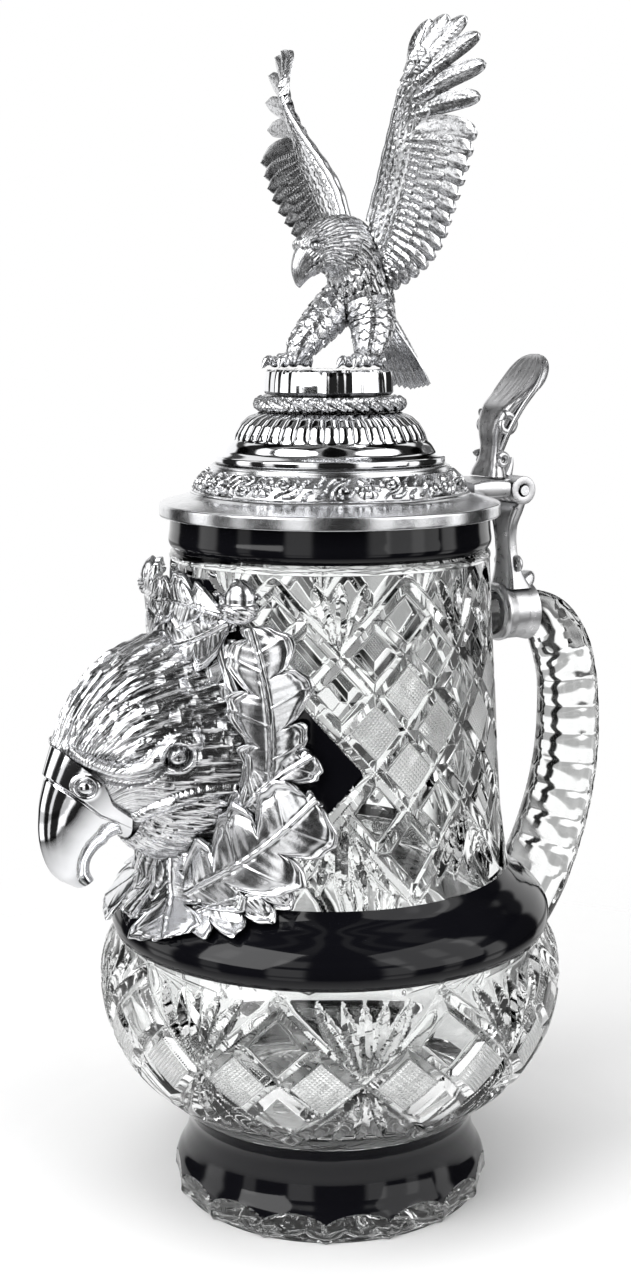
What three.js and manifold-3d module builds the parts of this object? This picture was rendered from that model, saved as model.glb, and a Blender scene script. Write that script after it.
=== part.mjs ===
// A lidded crystal beer stein: cut crystal body with black cased bands, pewter eagle-head badge
// between two oak branches, and a hinged pewter lid with a spread-winged eagle on top.
// Millimetres, +Z up, origin at the middle of the foot's flat underside, badge towards -Y.

import * as THREE from 'three';
import { mergeVertices } from 'three/addons/utils/BufferGeometryUtils.js';
import Module from 'manifold-3d';

const wasm = await Module();
wasm.setup();

// ---------------------------------------------------------------- driving dimensions

const GAP = 0.3;                 // clearance between pieces that touch
const AROUND = 36;               // flats on every large turned piece
const AROUND_SMALL = 16;         // flats on the small turned pieces

const FOOT_RADIUS = 47;
const BULB_RADIUS = 67.8;
const MOUTH_RADIUS = 45.4;
const RIM_Z = 199.1;
const MOUTH_BORE = 39.5;
const CASING = 1.5;              // thickness of the black glass layer
const BADGE_GAP = 0.65;          // the badge stands this far off the glass

// The glass outline from the foot's underside to the rim, as [radius, height].
const GLASS_OUTLINE = [
  [FOOT_RADIUS, 0], [FOOT_RADIUS, 2], [46.3, 7], [43.4, 13], [42.4, 19], [45.2, 26], [50.8, 32],
  [57.4, 38], [64.3, 49], [67.4, 59], [BULB_RADIUS, 66], [66.4, 74], [63.2, 80.4], [63.6, 86],
  [59.1, 92], [52.2, 98.7], [49.9, 114], [47.6, 150], [45.5, 187.6], [45.6, 191.8],
  [MOUTH_RADIUS, RIM_Z],
];
// The hollow inside, from the middle of its floor up to the mouth.
const HOLLOW_OUTLINE = [
  [0, 31], [36, 31], [50, 39], [58.6, 52], [60.6, 65], [57, 77], [48.5, 88], [44.4, 99],
  [41.6, 145], [MOUTH_BORE, 188],
];

const FOOT_BAND = [8, 27];       // heights where each black band starts and ends
const SHOULDER_BAND = [80.4, 98.7];
const COLLAR_BAND = [190, RIM_Z];

const PANEL_HALF_ARC = 62;         // half width of the black diamond, along the column's surface
const PANEL_HALF_HEIGHT = 70;
const PANEL_Z = 135;
const PANEL_LOW_Z = 100.2;
const PANEL_HIGH_Z = 186;

const HINGE_Y = 60.5;
const HINGE_Z = 204.2;
const KNUCKLE_RADIUS = 4.2;
const KNUCKLE_LENGTH = 3.2;
const PIN_RADIUS = 1.5;
const STUB_RADIUS = 6.2;
const STUB_Z = 167;

const FLANGE_RADIUS = 48.4;
const FLANGE_LOW_Z = RIM_Z + GAP;
const FLANGE_HIGH_Z = 203;
const CAP_LOW_Z = 214.2;
const CAP_TOP_Z = 228.3;
const RING_LOW_Z = CAP_TOP_Z + GAP;
const RING_TOP_Z = 232.6;
const PLINTH_LOW_Z = RING_TOP_Z + GAP;
const PLINTH_TOP_Z = 240;
const SCREW_RADIUS = 2;
const EAGLE_TURN = THREE.MathUtils.degToRad(9);

// ---------------------------------------------------------------- materials

const crystal = new THREE.MeshStandardMaterial({
  color: 0xe9f0f3, roughness: 0.04, metalness: 0, transparent: true, opacity: 0.45,
});
const blackGlass = new THREE.MeshStandardMaterial({ color: 0x08080a, roughness: 0.06, metalness: 0 });
const pewter = new THREE.MeshStandardMaterial({ color: 0xa9acb0, roughness: 0.34, metalness: 1 });
const brightPewter = new THREE.MeshStandardMaterial({ color: 0xc9ccd0, roughness: 0.12, metalness: 1 });

// ---------------------------------------------------------------- helpers

const model = new THREE.Group();

// Merges the shared corners, drops flat triangles and turns every face outwards.
function tidy(geometry) {
  const bare = geometry.clone();
  bare.deleteAttribute('normal');
  bare.deleteAttribute('uv');
  const merged = mergeVertices(bare, 1e-4);
  const index = Array.from(merged.index.array);
  const kept = [];
  for (let i = 0; i < index.length; i += 3) {
    const [a, b, c] = index.slice(i, i + 3);
    if (a !== b && b !== c && c !== a) kept.push(a, b, c);
  }
  merged.setIndex(signedVolume(merged.attributes.position, kept) < 0 ? kept.reverse() : kept);
  return merged;
}

function signedVolume(position, index) {
  const [a, b, c] = [new THREE.Vector3(), new THREE.Vector3(), new THREE.Vector3()];
  let volume = 0;
  for (let i = 0; i < index.length; i += 3) {
    [a, b, c].forEach((corner, k) => corner.fromBufferAttribute(position, index[i + k]));
    volume += a.dot(b.cross(c)) / 6;
  }
  return volume;
}

function toSolid(geometry) {
  const closed = tidy(geometry);
  const mesh = new wasm.Mesh({
    numProp: 3,
    vertProperties: new Float32Array(closed.attributes.position.array),
    triVerts: new Uint32Array(closed.index.array),
  });
  return new wasm.Manifold(mesh);
}

function toGeometry(solid) {
  const mesh = solid.getMesh();
  const geometry = new THREE.BufferGeometry();
  geometry.setAttribute('position', new THREE.BufferAttribute(new Float32Array(mesh.vertProperties), 3));
  geometry.setIndex(new THREE.BufferAttribute(new Uint32Array(mesh.triVerts), 1));
  return geometry;
}

function addPart(name, shape, material, parent = model) {
  const geometry = shape.isBufferGeometry ? tidy(shape) : toGeometry(shape);
  geometry.computeVertexNormals();
  const mesh = new THREE.Mesh(geometry, material);
  mesh.name = name;
  parent.add(mesh);
  return mesh;
}

// A turned piece about Z from [radius, height] points. A ring's outline closes on itself.
function turned(outline, sides = AROUND) {
  const points = outline.map(([radius, z]) => new THREE.Vector2(radius, z));
  const geometry = new THREE.LatheGeometry(points, sides);
  return geometry.rotateX(Math.PI / 2);
}

const ring = (outline, sides) => turned([...outline, outline[0]], sides);

// Triangles that close a ring of points: a fan about its middle, or a ladder across a long strip.
const fanCap = (count, centre) =>
  Array.from({ length: count }, (_, i) => [centre, i, (i + 1) % count]);
const ladderCap = (count) => {
  const rungs = Array.from({ length: count / 2 - 1 }, (_, i) => i);
  return rungs.flatMap((i) => [[i, i + 1, count - 2 - i], [i, count - 2 - i, count - 1 - i]]);
};

// A solid skin over a stack of closed rings of points, with a cap at each end.
function loft(rings, cap = fanCap) {
  const count = rings[0].length;
  const middle = (points) => points.reduce((sum, p) => sum.add(p), new THREE.Vector3()).divideScalar(count);
  const points = rings.flat();
  const index = [];
  for (let i = 0; i + 1 < rings.length; i++) {
    for (let j = 0; j < count; j++) {
      const a = i * count + j;
      const b = i * count + (j + 1) % count;
      index.push(a, b, b + count, a, b + count, a + count);
    }
  }
  const firstOfLast = (rings.length - 1) * count;
  const firstCentre = points.push(middle(rings[0])) - 1;
  const lastCentre = points.push(middle(rings.at(-1))) - 1;
  cap(count, firstCentre).forEach(([a, b, c]) => index.push(c, b, a));
  cap(count, lastCentre - firstOfLast).forEach((corners) =>
    index.push(...corners.map((corner) => corner + firstOfLast)));
  const geometry = new THREE.BufferGeometry().setFromPoints(points);
  geometry.setIndex(index);
  return geometry;
}

// An oval ring of points about centre, spanned by two half axes.
function oval(centre, halfAxisA, halfAxisB, sides = 12) {
  return Array.from({ length: sides }, (_, i) => {
    const angle = (i / sides) * 2 * Math.PI;
    return centre.clone()
      .addScaledVector(halfAxisA, Math.cos(angle))
      .addScaledVector(halfAxisB, Math.sin(angle));
  });
}

const vec = (x, y, z) => new THREE.Vector3(x, y, z);

function cylinderAlongX(radius, length, x, y, z) {
  const geometry = new THREE.CylinderGeometry(radius, radius, length, AROUND_SMALL);
  return geometry.rotateZ(Math.PI / 2).translate(x, y, z);
}

function cylinderAlongZ(radius, lowZ, highZ) {
  const geometry = new THREE.CylinderGeometry(radius, radius, highZ - lowZ, AROUND_SMALL);
  return geometry.rotateX(Math.PI / 2).translate(0, 0, (lowZ + highZ) / 2);
}

const box = (sizeX, sizeY, sizeZ, x, y, z) =>
  new THREE.BoxGeometry(sizeX, sizeY, sizeZ).translate(x, y, z);

// ---------------------------------------------------------------- the glass

function glassRadius(z) {
  const above = GLASS_OUTLINE.findIndex(([, height]) => height > z);
  if (above < 1) return GLASS_OUTLINE.at(above === 0 ? 0 : -1)[0];
  const [[r0, z0], [r1, z1]] = [GLASS_OUTLINE[above - 1], GLASS_OUTLINE[above]];
  return r0 + ((r1 - r0) * (z - z0)) / (z1 - z0);
}

const heightsBetween = (low, high) =>
  [low, ...GLASS_OUTLINE.map(([, z]) => z).filter((z) => z > low && z < high), high];

// The whole outside of the glass as one solid, grown by a clearance.
function glassEnvelope(growth) {
  const outline = GLASS_OUTLINE.map(([radius, z]) => [radius + growth, z]);
  return toSolid(turned([[0, 0], ...outline, [0, RIM_Z]]));
}

function blackBand([low, high]) {
  const heights = heightsBetween(low, high);
  const outer = heights.map((z) => [glassRadius(z), z]);
  const inner = heights.reverse().map((z) => [glassRadius(z) - CASING, z]);
  return ring([...outer, ...inner]);
}

// A point at an arc length from the front line, standing off the glass by a height.
function onGlass(arc, z, height) {
  const radius = glassRadius(z) + height;
  const angle = arc / glassRadius(PANEL_Z);
  return vec(radius * Math.sin(angle), -radius * Math.cos(angle), z);
}

// The black diamond bent round the column, its two points cut level above and below.
// Growth widens the outline, depth and cover are how far it reaches into and off the glass.
function bentPanel(growth, depth, cover) {
  const halfRows = 4;
  const columns = 14;
  const lowZ = PANEL_LOW_Z - growth;
  const highZ = PANEL_HIGH_Z + growth;
  const halfArc = (z) =>
    (PANEL_HALF_ARC + growth) * (1 - Math.abs(z - PANEL_Z) / (PANEL_HALF_HEIGHT + growth));
  const across = Array.from({ length: columns + 1 }, (_, i) => (2 * i) / columns - 1);
  const rings = [];
  for (let row = -halfRows; row <= halfRows; row++) {
    const z = PANEL_Z + (row < 0 ? PANEL_Z - lowZ : highZ - PANEL_Z) * (row / halfRows);
    const at = (share, inset) => onGlass(share * halfArc(z), z, -inset);
    rings.push([
      ...across.map((share) => at(share, -cover)),
      ...across.toReversed().map((share) => at(share, depth)),
    ]);
  }
  return loft(rings, ladderCap);
}

function crystalBody() {
  const depth = CASING + GAP;
  const outline = [];
  const addOuter = (low, high, inset) =>
    heightsBetween(low, high).forEach((z) => outline.push([glassRadius(z) - inset, z]));
  addOuter(0, FOOT_BAND[0] - GAP, 0);
  addOuter(FOOT_BAND[0] - GAP, FOOT_BAND[1] + GAP, depth);
  addOuter(FOOT_BAND[1] + GAP, SHOULDER_BAND[0] - GAP, 0);
  addOuter(SHOULDER_BAND[0] - GAP, SHOULDER_BAND[1] + GAP, depth);
  addOuter(SHOULDER_BAND[1] + GAP, COLLAR_BAND[0] - GAP, 0);
  addOuter(COLLAR_BAND[0] - GAP, COLLAR_BAND[1], depth);
  const blank = toSolid(turned([[0, 0], ...outline, [0, RIM_Z]]));
  const hollow = toSolid(turned([...HOLLOW_OUTLINE, [MOUTH_BORE, RIM_Z + 5], [0, RIM_Z + 5]]));
  const recess = toSolid(bentPanel(GAP, depth, 2));
  return blank.subtract(hollow).subtract(recess);
}

addPart('crystal_body', crystalBody(), crystal);
addPart('black_foot_band', blackBand(FOOT_BAND), blackGlass);
addPart('black_shoulder_band', blackBand(SHOULDER_BAND), blackGlass);
addPart('black_collar_band', blackBand(COLLAR_BAND), blackGlass);
addPart('black_front_panel', bentPanel(0, CASING, 0), blackGlass);

// The handle leaves the column as a round stub, swells, and runs down into the bulb.
// Each row: centre y, centre z, half thickness, half width.
const HANDLE_SECTIONS = [
  [43, STUB_Z, STUB_RADIUS, STUB_RADIUS],
  [56, STUB_Z, STUB_RADIUS, STUB_RADIUS],
  [69.5, STUB_Z, STUB_RADIUS, STUB_RADIUS],
  [75.2, 163.8, 7.4, 7.4],
  [80.2, 156.5, 8.4, 8.6],
  [83.4, 146, 8.6, 9.0],
  [84.4, 134, 9.0, 9.2],
  [84.0, 121, 9.4, 9.4],
  [81.8, 108, 9.8, 9.6],
  [77.8, 95, 10.2, 9.8],
  [71.8, 82, 10.6, 10],
  [63.6, 71, 11, 10.2],
  [55.6, 64, 11, 10.2],
];

function crystalHandle() {
  const centres = HANDLE_SECTIONS.map(([y, z]) => vec(0, y, z));
  const route = new THREE.CatmullRomCurve3(centres);
  const rings = HANDLE_SECTIONS.map(([, , halfThickness, halfWidth], i) => {
    const along = route.getTangent(i / (HANDLE_SECTIONS.length - 1));
    const across = vec(0, -along.z, along.y).normalize();
    return oval(centres[i], across.multiplyScalar(halfThickness), vec(halfWidth, 0, 0));
  });
  return toSolid(loft(rings)).subtract(glassEnvelope(GAP));
}

addPart('crystal_handle', crystalHandle(), crystal);

// ---------------------------------------------------------------- the badge

// Sections of the head from its back inside the glass out to the beak's tip.
// Each row: top y, top z, bottom y, bottom z, half width, with y measured outwards.
const HEAD_SECTIONS = [
  [40, 169, 40, 108, 23],
  [50, 168.5, 50, 107, 23.5],
  [57, 167, 57, 108, 22.5],
  [66, 163.5, 62, 110.5, 20],
  [74, 157, 65, 113.5, 16.5],
  [80, 148.5, 68, 116.5, 13],
  [83.2, 141, 70, 117.5, 11],
  [86.3, 132, 72.5, 117, 9.6],
  [88.4, 123, 75, 114.5, 8],
  [88.4, 113, 77.4, 110.5, 6],
  [84.6, 105, 77.8, 106.4, 4],
  [77.4, 100.6, 75.4, 102.6, 1.5],
];

function eagleHead() {
  const rings = HEAD_SECTIONS.map(([topY, topZ, lowY, lowZ, halfWidth]) => {
    const centre = vec(0, -(topY + lowY) / 2, (topZ + lowZ) / 2);
    const upward = vec(0, -(topY - lowY) / 2, (topZ - lowZ) / 2);
    return oval(centre, upward, vec(halfWidth, 0, 0), 16);
  });
  return toSolid(loft(rings)).subtract(glassEnvelope(BADGE_GAP));
}

addPart('badge_eagle_head', eagleHead(), brightPewter);

// Leaves lie on the glass: [stalk arc, stalk z, tip arc, tip z, half width], arcs from the front line.
const OAK_LEAVES = [
  [11, 160, 12, 185, 8],
  [20, 156, 30, 180, 8],
  [27, 143, 42, 167, 8],
  [30, 131, 46.5, 149, 7.5],
  [29, 121, 52, 131, 8.5],
  [28, 112, 48, 114, 8],
  [22, 106, 39, 97, 7.5],
  [9, 107, 24, 90, 7.5],
];
const LEAF_THICKNESS = 3.2;
const LEAF_LOBES = 3;
const BRANCH_STEM = [
  [3, 101], [12, 103], [21, 108], [27, 116], [30, 126], [30, 138], [26, 149], [19, 157], [10, 161],
];

// A ridged strip laid on the glass along [arc, z] points, with a half width at each.
function strip(centres, halfWidths, thickness) {
  const across = (i) => {
    const before = centres[Math.max(i - 1, 0)];
    const after = centres[Math.min(i + 1, centres.length - 1)];
    const length = Math.hypot(after[0] - before[0], after[1] - before[1]);
    return [-(after[1] - before[1]) / length, (after[0] - before[0]) / length];
  };
  const rings = centres.map(([arc, z], i) => {
    const [sideArc, sideZ] = across(i);
    const at = (share, height) =>
      onGlass(arc + sideArc * halfWidths[i] * share, z + sideZ * halfWidths[i] * share, height);
    const low = BADGE_GAP;
    const edge = BADGE_GAP + thickness * 0.45;
    return [
      at(-1, low), at(-1, edge), at(-0.5, low + thickness * 0.8), at(0, low + thickness),
      at(0.5, low + thickness * 0.8), at(1, edge), at(1, low), at(0, low),
    ];
  });
  return loft(rings);
}

function oakLeaf([stalkArc, stalkZ, tipArc, tipZ, halfWidth], side) {
  const steps = 6;
  const centres = [];
  const halfWidths = [];
  for (let i = 0; i <= steps; i++) {
    const t = i / steps;
    const lobe = 1 + 0.16 * Math.cos(2 * Math.PI * LEAF_LOBES * t);
    centres.push([side * (stalkArc + (tipArc - stalkArc) * t), stalkZ + (tipZ - stalkZ) * t]);
    halfWidths.push(halfWidth * (0.22 + 0.78 * Math.sin(Math.PI * Math.min(t * 0.82 + 0.12, 1))) * lobe);
  }
  return strip(centres, halfWidths, LEAF_THICKNESS);
}

function oakBranch(side, head) {
  const stem = BRANCH_STEM.map(([arc, z]) => [side * arc, z]);
  const parts = [strip(stem, stem.map(() => 3.4), LEAF_THICKNESS + 0.6)];
  OAK_LEAVES.forEach((leaf) => parts.push(oakLeaf(leaf, side)));
  const branch = parts.map(toSolid).reduce((sum, solid) => sum.add(solid));
  const clearHalf = toSolid(box(200, 200, 400, -side * (100 - GAP), 0, 100));
  return branch.subtract(head).subtract(clearHalf);
}

function grownHead() {
  const rings = HEAD_SECTIONS.map(([topY, topZ, lowY, lowZ, halfWidth]) => {
    const centre = vec(0, -(topY + lowY) / 2, (topZ + lowZ) / 2);
    const upward = vec(0, -(topY - lowY) / 2, (topZ - lowZ) / 2);
    return oval(centre, upward.setLength(upward.length() + GAP), vec(halfWidth + GAP, 0, 0), 16);
  });
  return toSolid(loft(rings));
}

addPart('oak_branch_left', oakBranch(-1, grownHead()), pewter);
addPart('oak_branch_right', oakBranch(1, grownHead()), pewter);

// ---------------------------------------------------------------- the lid

const WALL = 2.2;
const LINER_RADIUS = 38.7;

const FLANGE_OUTER = [
  [FLANGE_RADIUS, FLANGE_LOW_Z], [FLANGE_RADIUS, FLANGE_HIGH_Z], [41, 204.9], [39.8, 205.6],
  [38.6, 209.5], [35.2, 212.8], [33.2, CAP_LOW_Z - GAP],
];

function lidFlange() {
  return ring([
    ...FLANGE_OUTER, [29.5, CAP_LOW_Z - GAP], [31.5, 211.5], [36, 208], [LINER_RADIUS + GAP, 203.5],
    [LINER_RADIUS + GAP, FLANGE_LOW_Z],
  ]);
}

const CAP_OUTER = [
  [32.6, CAP_LOW_Z], [32.6, 216], [30, 217.2], [28.7, 219.4], [27.7, 220.6], [25, 225],
  [20.4, CAP_TOP_Z],
];

function lidCap() {
  const bore = SCREW_RADIUS + GAP;
  const underTop = CAP_TOP_Z - WALL;
  return ring([
    ...CAP_OUTER, [bore, CAP_TOP_Z], [bore, underTop], [19.6, underTop], [23.2, 223.4],
    [26, 219.2], [28.8, CAP_LOW_Z],
  ]);
}

function leafRing() {
  const middleZ = (RING_LOW_Z + RING_TOP_Z) / 2;
  return ring([
    [SCREW_RADIUS + GAP, RING_LOW_Z], [20.4, RING_LOW_Z], [21.4, middleZ - 0.8], [21.4, middleZ + 0.8],
    [20.2, RING_TOP_Z], [SCREW_RADIUS + GAP, RING_TOP_Z],
  ]);
}

addPart('lid_flange', lidFlange(), pewter);
addPart('lid_cap', lidCap(), pewter);
addPart('lid_liner', ring([
  [LINER_RADIUS, 194], [LINER_RADIUS, 202.5], [LINER_RADIUS - 2, 202.5], [LINER_RADIUS - 2, 194],
]), pewter);
addPart('leaf_ring', leafRing(), pewter);

// ---------------------------------------------------------------- the finial

// Corners of the rock plinth going round, as [x, y].
const PLINTH_CORNERS = [
  [19, -3], [18, 6], [14, 13], [6, 17.5], [-4, 18], [-12, 14.5], [-17.5, 7], [-19, -3], [-16, -11],
  [-9, -17], [1, -18.5], [10, -16], [16.5, -10],
];

function finialPlinth() {
  const level = (z, share) => PLINTH_CORNERS.map(([x, y]) => vec(x * share, y * share, z));
  const rock = toSolid(loft([level(PLINTH_LOW_Z, 0.94), level(PLINTH_LOW_Z + 1, 0.98), level(PLINTH_TOP_Z, 0.93)]));
  const screwHole = toSolid(cylinderAlongZ(SCREW_RADIUS + GAP, PLINTH_LOW_Z - 1, PLINTH_TOP_Z - 1.6));
  return rock.subtract(screwHole);
}

addPart('finial_plinth', finialPlinth(), brightPewter);

const WASHER_TOP_Z = CAP_TOP_Z - WALL - GAP;
const WASHER_LOW_Z = WASHER_TOP_Z - 1.2;
const SCREW_HEAD_RADIUS = 4.6;

addPart('finial_washer', ring([
  [SCREW_RADIUS + GAP, WASHER_LOW_Z], [7.5, WASHER_LOW_Z], [7.5, WASHER_TOP_Z],
  [SCREW_RADIUS + GAP, WASHER_TOP_Z],
], AROUND_SMALL), brightPewter);

function finialScrew() {
  const headTop = WASHER_LOW_Z - GAP;
  const slot = toSolid(box(1.2, 12, 1.4, 0, 0, headTop - 3));
  const shape = turned([
    [0, headTop - 3], [SCREW_HEAD_RADIUS - 0.8, headTop - 3], [SCREW_HEAD_RADIUS, headTop - 2],
    [SCREW_HEAD_RADIUS, headTop], [SCREW_RADIUS, headTop], [SCREW_RADIUS, PLINTH_TOP_Z - 2.4],
    [0, PLINTH_TOP_Z - 2.4],
  ], AROUND_SMALL);
  return toSolid(shape).subtract(slot);
}

addPart('finial_screw', finialScrew(), brightPewter);

const eagle = new THREE.Group();
eagle.rotation.z = EAGLE_TURN;
model.add(eagle);

// Body from rump to beak: [y, z, half depth, half width], sections square to the route.
const EAGLE_BODY = [
  [20, 249, 2.5, 3.5], [17, 252.5, 5.5, 6], [13.5, 257.5, 8, 8], [10, 263.5, 9, 8.8],
  [6.5, 269.5, 8.6, 8.4], [3, 273.5, 7.4, 7], [-1, 275, 6.2, 5.8], [-5, 273.8, 5.4, 5.2],
  [-8.5, 271, 4.2, 4.2], [-10.8, 267.8, 2.4, 2.4], [-11.6, 264.6, 0.8, 0.8],
];
// Each leg: [x, y, z, radius] from the belly to the ankle, then the foot's heel and toes.
const FAR_LEG = [
  [-4.5, 7, 259, 4.6], [-6, 1.5, 252, 4], [-7.4, -4, 246.5, 2.6], [-8, -6.8, 243.2, 2],
];
const NEAR_LEG = [
  [4.5, 9, 257, 4.6], [6.2, 9.6, 250.5, 3.8], [7.4, 8.6, 245.5, 2.4], [8, 7.6, 243, 2],
];
const TOE_HALF_HEIGHT = 1.5;

function eagleTube(stations, growth) {
  return loft(stations.map(([x, y, z, radius]) =>
    oval(vec(x, y, z), vec(radius + growth, 0, 0), vec(0, radius + growth, 0), 8)));
}

function eagleFoot(ankle, growth) {
  const [x, y] = ankle;
  const z = PLINTH_TOP_Z + GAP + TOE_HALF_HEIGHT;
  const stations = [[5.5, 0.8, 0.6], [3, 1.8, 1.2], [0, 3, TOE_HALF_HEIGHT], [-4, 5, TOE_HALF_HEIGHT], [-8, 4.4, 1]];
  return loft(stations.map(([dy, halfWidth, halfHeight]) =>
    oval(vec(x, y + dy, z), vec(halfWidth + growth, 0, 0), vec(0, 0, halfHeight + growth), 8)));
}

function eagleBodySolid(growth) {
  const centres = EAGLE_BODY.map(([y, z]) => vec(0, y, z));
  const route = new THREE.CatmullRomCurve3(centres);
  const rings = EAGLE_BODY.map(([, , halfDepth, halfWidth], i) => {
    const along = route.getTangent(i / (EAGLE_BODY.length - 1));
    const across = vec(0, -along.z, along.y).normalize();
    return oval(centres[i], across.multiplyScalar(halfDepth + growth), vec(halfWidth + growth, 0, 0));
  });
  const parts = [loft(rings)];
  [FAR_LEG, NEAR_LEG].forEach((leg) => {
    parts.push(eagleTube(leg, growth), eagleFoot(leg.at(-1), growth));
  });
  return parts.map(toSolid).reduce((sum, solid) => sum.add(solid));
}

addPart('eagle_body', eagleBodySolid(0), pewter, eagle);

// Wing sections from the shoulder to the tip: leading edge x, y, z, then trailing edge x, y, z.
const WING_SECTIONS = [
  [3, 8.5, 274, 5, 13, 259],
  [6, 10, 283, 20, 15, 265],
  [10, 9.8, 291, 34, 13.8, 276],
  [15.5, 7.6, 300, 43.5, 11.6, 287],
  [22, 5, 308.5, 47.8, 10.8, 297],
  [27.5, 4.2, 315.5, 49, 12.4, 309],
  [29.8, 6, 323, 49, 13, 319],
  [31, 8.6, 329.5, 46.5, 12.8, 327],
];
const WING_THICKNESS = 2.6;

function eagleWing(side) {
  const bow = vec(0, -WING_THICKNESS / 2, 0);
  const rings = WING_SECTIONS.map(([x0, y0, z0, x1, y1, z1]) => {
    const lead = vec(side * x0, y0, z0);
    const trail = vec(side * x1, y1, z1);
    const centre = lead.clone().add(trail).divideScalar(2);
    return oval(centre, trail.sub(lead).divideScalar(2), bow, 10);
  });
  return toSolid(loft(rings)).subtract(eagleBodySolid(GAP));
}

addPart('eagle_left_wing', eagleWing(1), pewter, eagle);
addPart('eagle_right_wing', eagleWing(-1), pewter, eagle);

// The tail fans out behind the plinth: [y, z, half thickness, half width].
const TAIL_SECTIONS = [
  [17, 254, 2.2, 4.5], [21.5, 248, 2, 6], [26, 241.5, 1.6, 8], [29.5, 235, 1.1, 9.5],
];

function eagleTail() {
  const normal = vec(0, 1, 0.6).normalize();
  const rings = TAIL_SECTIONS.map(([y, z, halfThickness, halfWidth]) =>
    oval(vec(0, y, z), normal.clone().multiplyScalar(halfThickness), vec(halfWidth, 0, 0)));
  return toSolid(loft(rings)).subtract(eagleBodySolid(GAP));
}

addPart('eagle_tail', eagleTail(), pewter, eagle);

// ---------------------------------------------------------------- the hinge

const KNUCKLE_PITCH = KNUCKLE_LENGTH + GAP;
const STRAP_KNUCKLES = [-2, 0, 2].map((step) => step * KNUCKLE_PITCH);
const LID_KNUCKLES = [-1, 1].map((step) => step * KNUCKLE_PITCH);
const HINGE_HALF_WIDTH = 2.5 * KNUCKLE_PITCH;

const atHinge = (radius, length, x) => toSolid(cylinderAlongX(radius, length, x, HINGE_Y, HINGE_Z));

// A bar through the given rows: centre y, centre z, half thickness along Y, half width along X.
const barDown = (rows) => toSolid(loft(rows.map(([y, z, halfThickness, halfWidth]) => [
  vec(-halfWidth, y - halfThickness, z), vec(halfWidth, y - halfThickness, z),
  vec(halfWidth, y + halfThickness, z), vec(-halfWidth, y + halfThickness, z),
])));

// Knuckles on the strap or the lid: clears the other side's knuckles and the pin's bore.
function withKnuckles(solid, own, other) {
  const cleared = other.reduce(
    (sum, x) => sum.subtract(atHinge(KNUCKLE_RADIUS + 0.5, KNUCKLE_LENGTH + 2 * GAP - 0.01, x)), solid);
  const joined = own.reduce((sum, x) => sum.add(atHinge(KNUCKLE_RADIUS, KNUCKLE_LENGTH, x)), cleared);
  return joined.subtract(atHinge(PIN_RADIUS + GAP, 60, 0));
}

// The cuff is a ring round the handle's stub, a little wider at its back end.
const CUFF_OUTLINE = [
  [STUB_RADIUS + GAP + 0.05, 55.5], [8.2, 55.5], [8.9, 57], [8.3, 60], [8.3, 64], [9.2, 67.6],
  [STUB_RADIUS + GAP + 0.05, 67.6],
];

function handleStrap() {
  const strap = barDown([
    [HINGE_Y, HINGE_Z - 2, 2.4, HINGE_HALF_WIDTH - GAP / 2], [HINGE_Y - 0.2, 198, 2, 6.4],
    [HINGE_Y - 0.4, 193, 1.7, 4.2], [HINGE_Y - 0.2, 186, 1.7, 3.8], [HINGE_Y + 0.6, 179, 2.6, 5],
    [HINGE_Y + 1.6, 174.2, 4.6, 6.2],
  ]);
  const cuff = toSolid(ring(CUFF_OUTLINE, AROUND_SMALL).rotateX(-Math.PI / 2).translate(0, 0, STUB_Z));
  const nose = barDown([[68, 178.6, 1, 2.4], [66.5, 176.6, 3.6, 3.6], [63.5, 174.4, 4.6, 5.4]]);
  const joined = strap.add(nose).subtract(toSolid(
    new THREE.CylinderGeometry(STUB_RADIUS + 2, STUB_RADIUS + 2, 40, AROUND_SMALL).translate(0, 60, STUB_Z)));
  return withKnuckles(joined.add(cuff), STRAP_KNUCKLES, LID_KNUCKLES);
}

addPart('handle_strap', handleStrap(), pewter);
addPart('hinge_pin', cylinderAlongX(PIN_RADIUS, 2 * HINGE_HALF_WIDTH + 1, 0, HINGE_Y, HINGE_Z), brightPewter);

const TANG_TOP_Z = 208;

function lidTang() {
  const halfWidth = HINGE_HALF_WIDTH - GAP / 2;
  const section = (y, low, high) => [
    vec(-halfWidth, y, low), vec(halfWidth, y, low), vec(halfWidth, y, high), vec(-halfWidth, y, high),
  ];
  const tang = toSolid(loft([
    section(41.5, 202, TANG_TOP_Z - 1), section(48, 201.8, TANG_TOP_Z), section(54, 201.4, TANG_TOP_Z),
    section(HINGE_Y, HINGE_Z - 2.6, TANG_TOP_Z - 1),
  ]));
  const flange = toSolid(turned([
    [0, FLANGE_LOW_Z - 5], [FLANGE_RADIUS + GAP, FLANGE_LOW_Z - 5],
    ...FLANGE_OUTER.slice(1).map(([radius, z]) => [radius + GAP, z + GAP]), [0, CAP_LOW_Z],
  ]));
  return withKnuckles(tang.subtract(flange), LID_KNUCKLES, STRAP_KNUCKLES);
}

addPart('lid_tang', lidTang(), pewter);

// The thumb lift stands on the tang: [centre y, centre z, half depth, half width].
const THUMB_LIFT = [
  [53, TANG_TOP_Z + GAP, 5, 7.6], [53.6, 212, 3.6, 6], [54.4, 217, 3.2, 5.6], [54.6, 222.5, 5, 7.4],
  [57, 228, 5.4, 8.4], [62.5, 232.5, 6.4, 9.6], [66.4, 237.5, 5.4, 9.8], [68.6, 242, 3, 7],
  [69.2, 244, 1.2, 3],
];

function thumbLift() {
  return loft(THUMB_LIFT.map(([y, z, halfDepth, halfWidth]) =>
    oval(vec(0, y, z), vec(halfWidth, 0, 0), vec(0, halfDepth, 0))));
}

addPart('thumb_lift', thumbLift(), pewter);

export default model;
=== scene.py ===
"""Looks for the lidded crystal stein: cut crystal, black cased glass and antiqued pewter."""

import math

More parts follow.
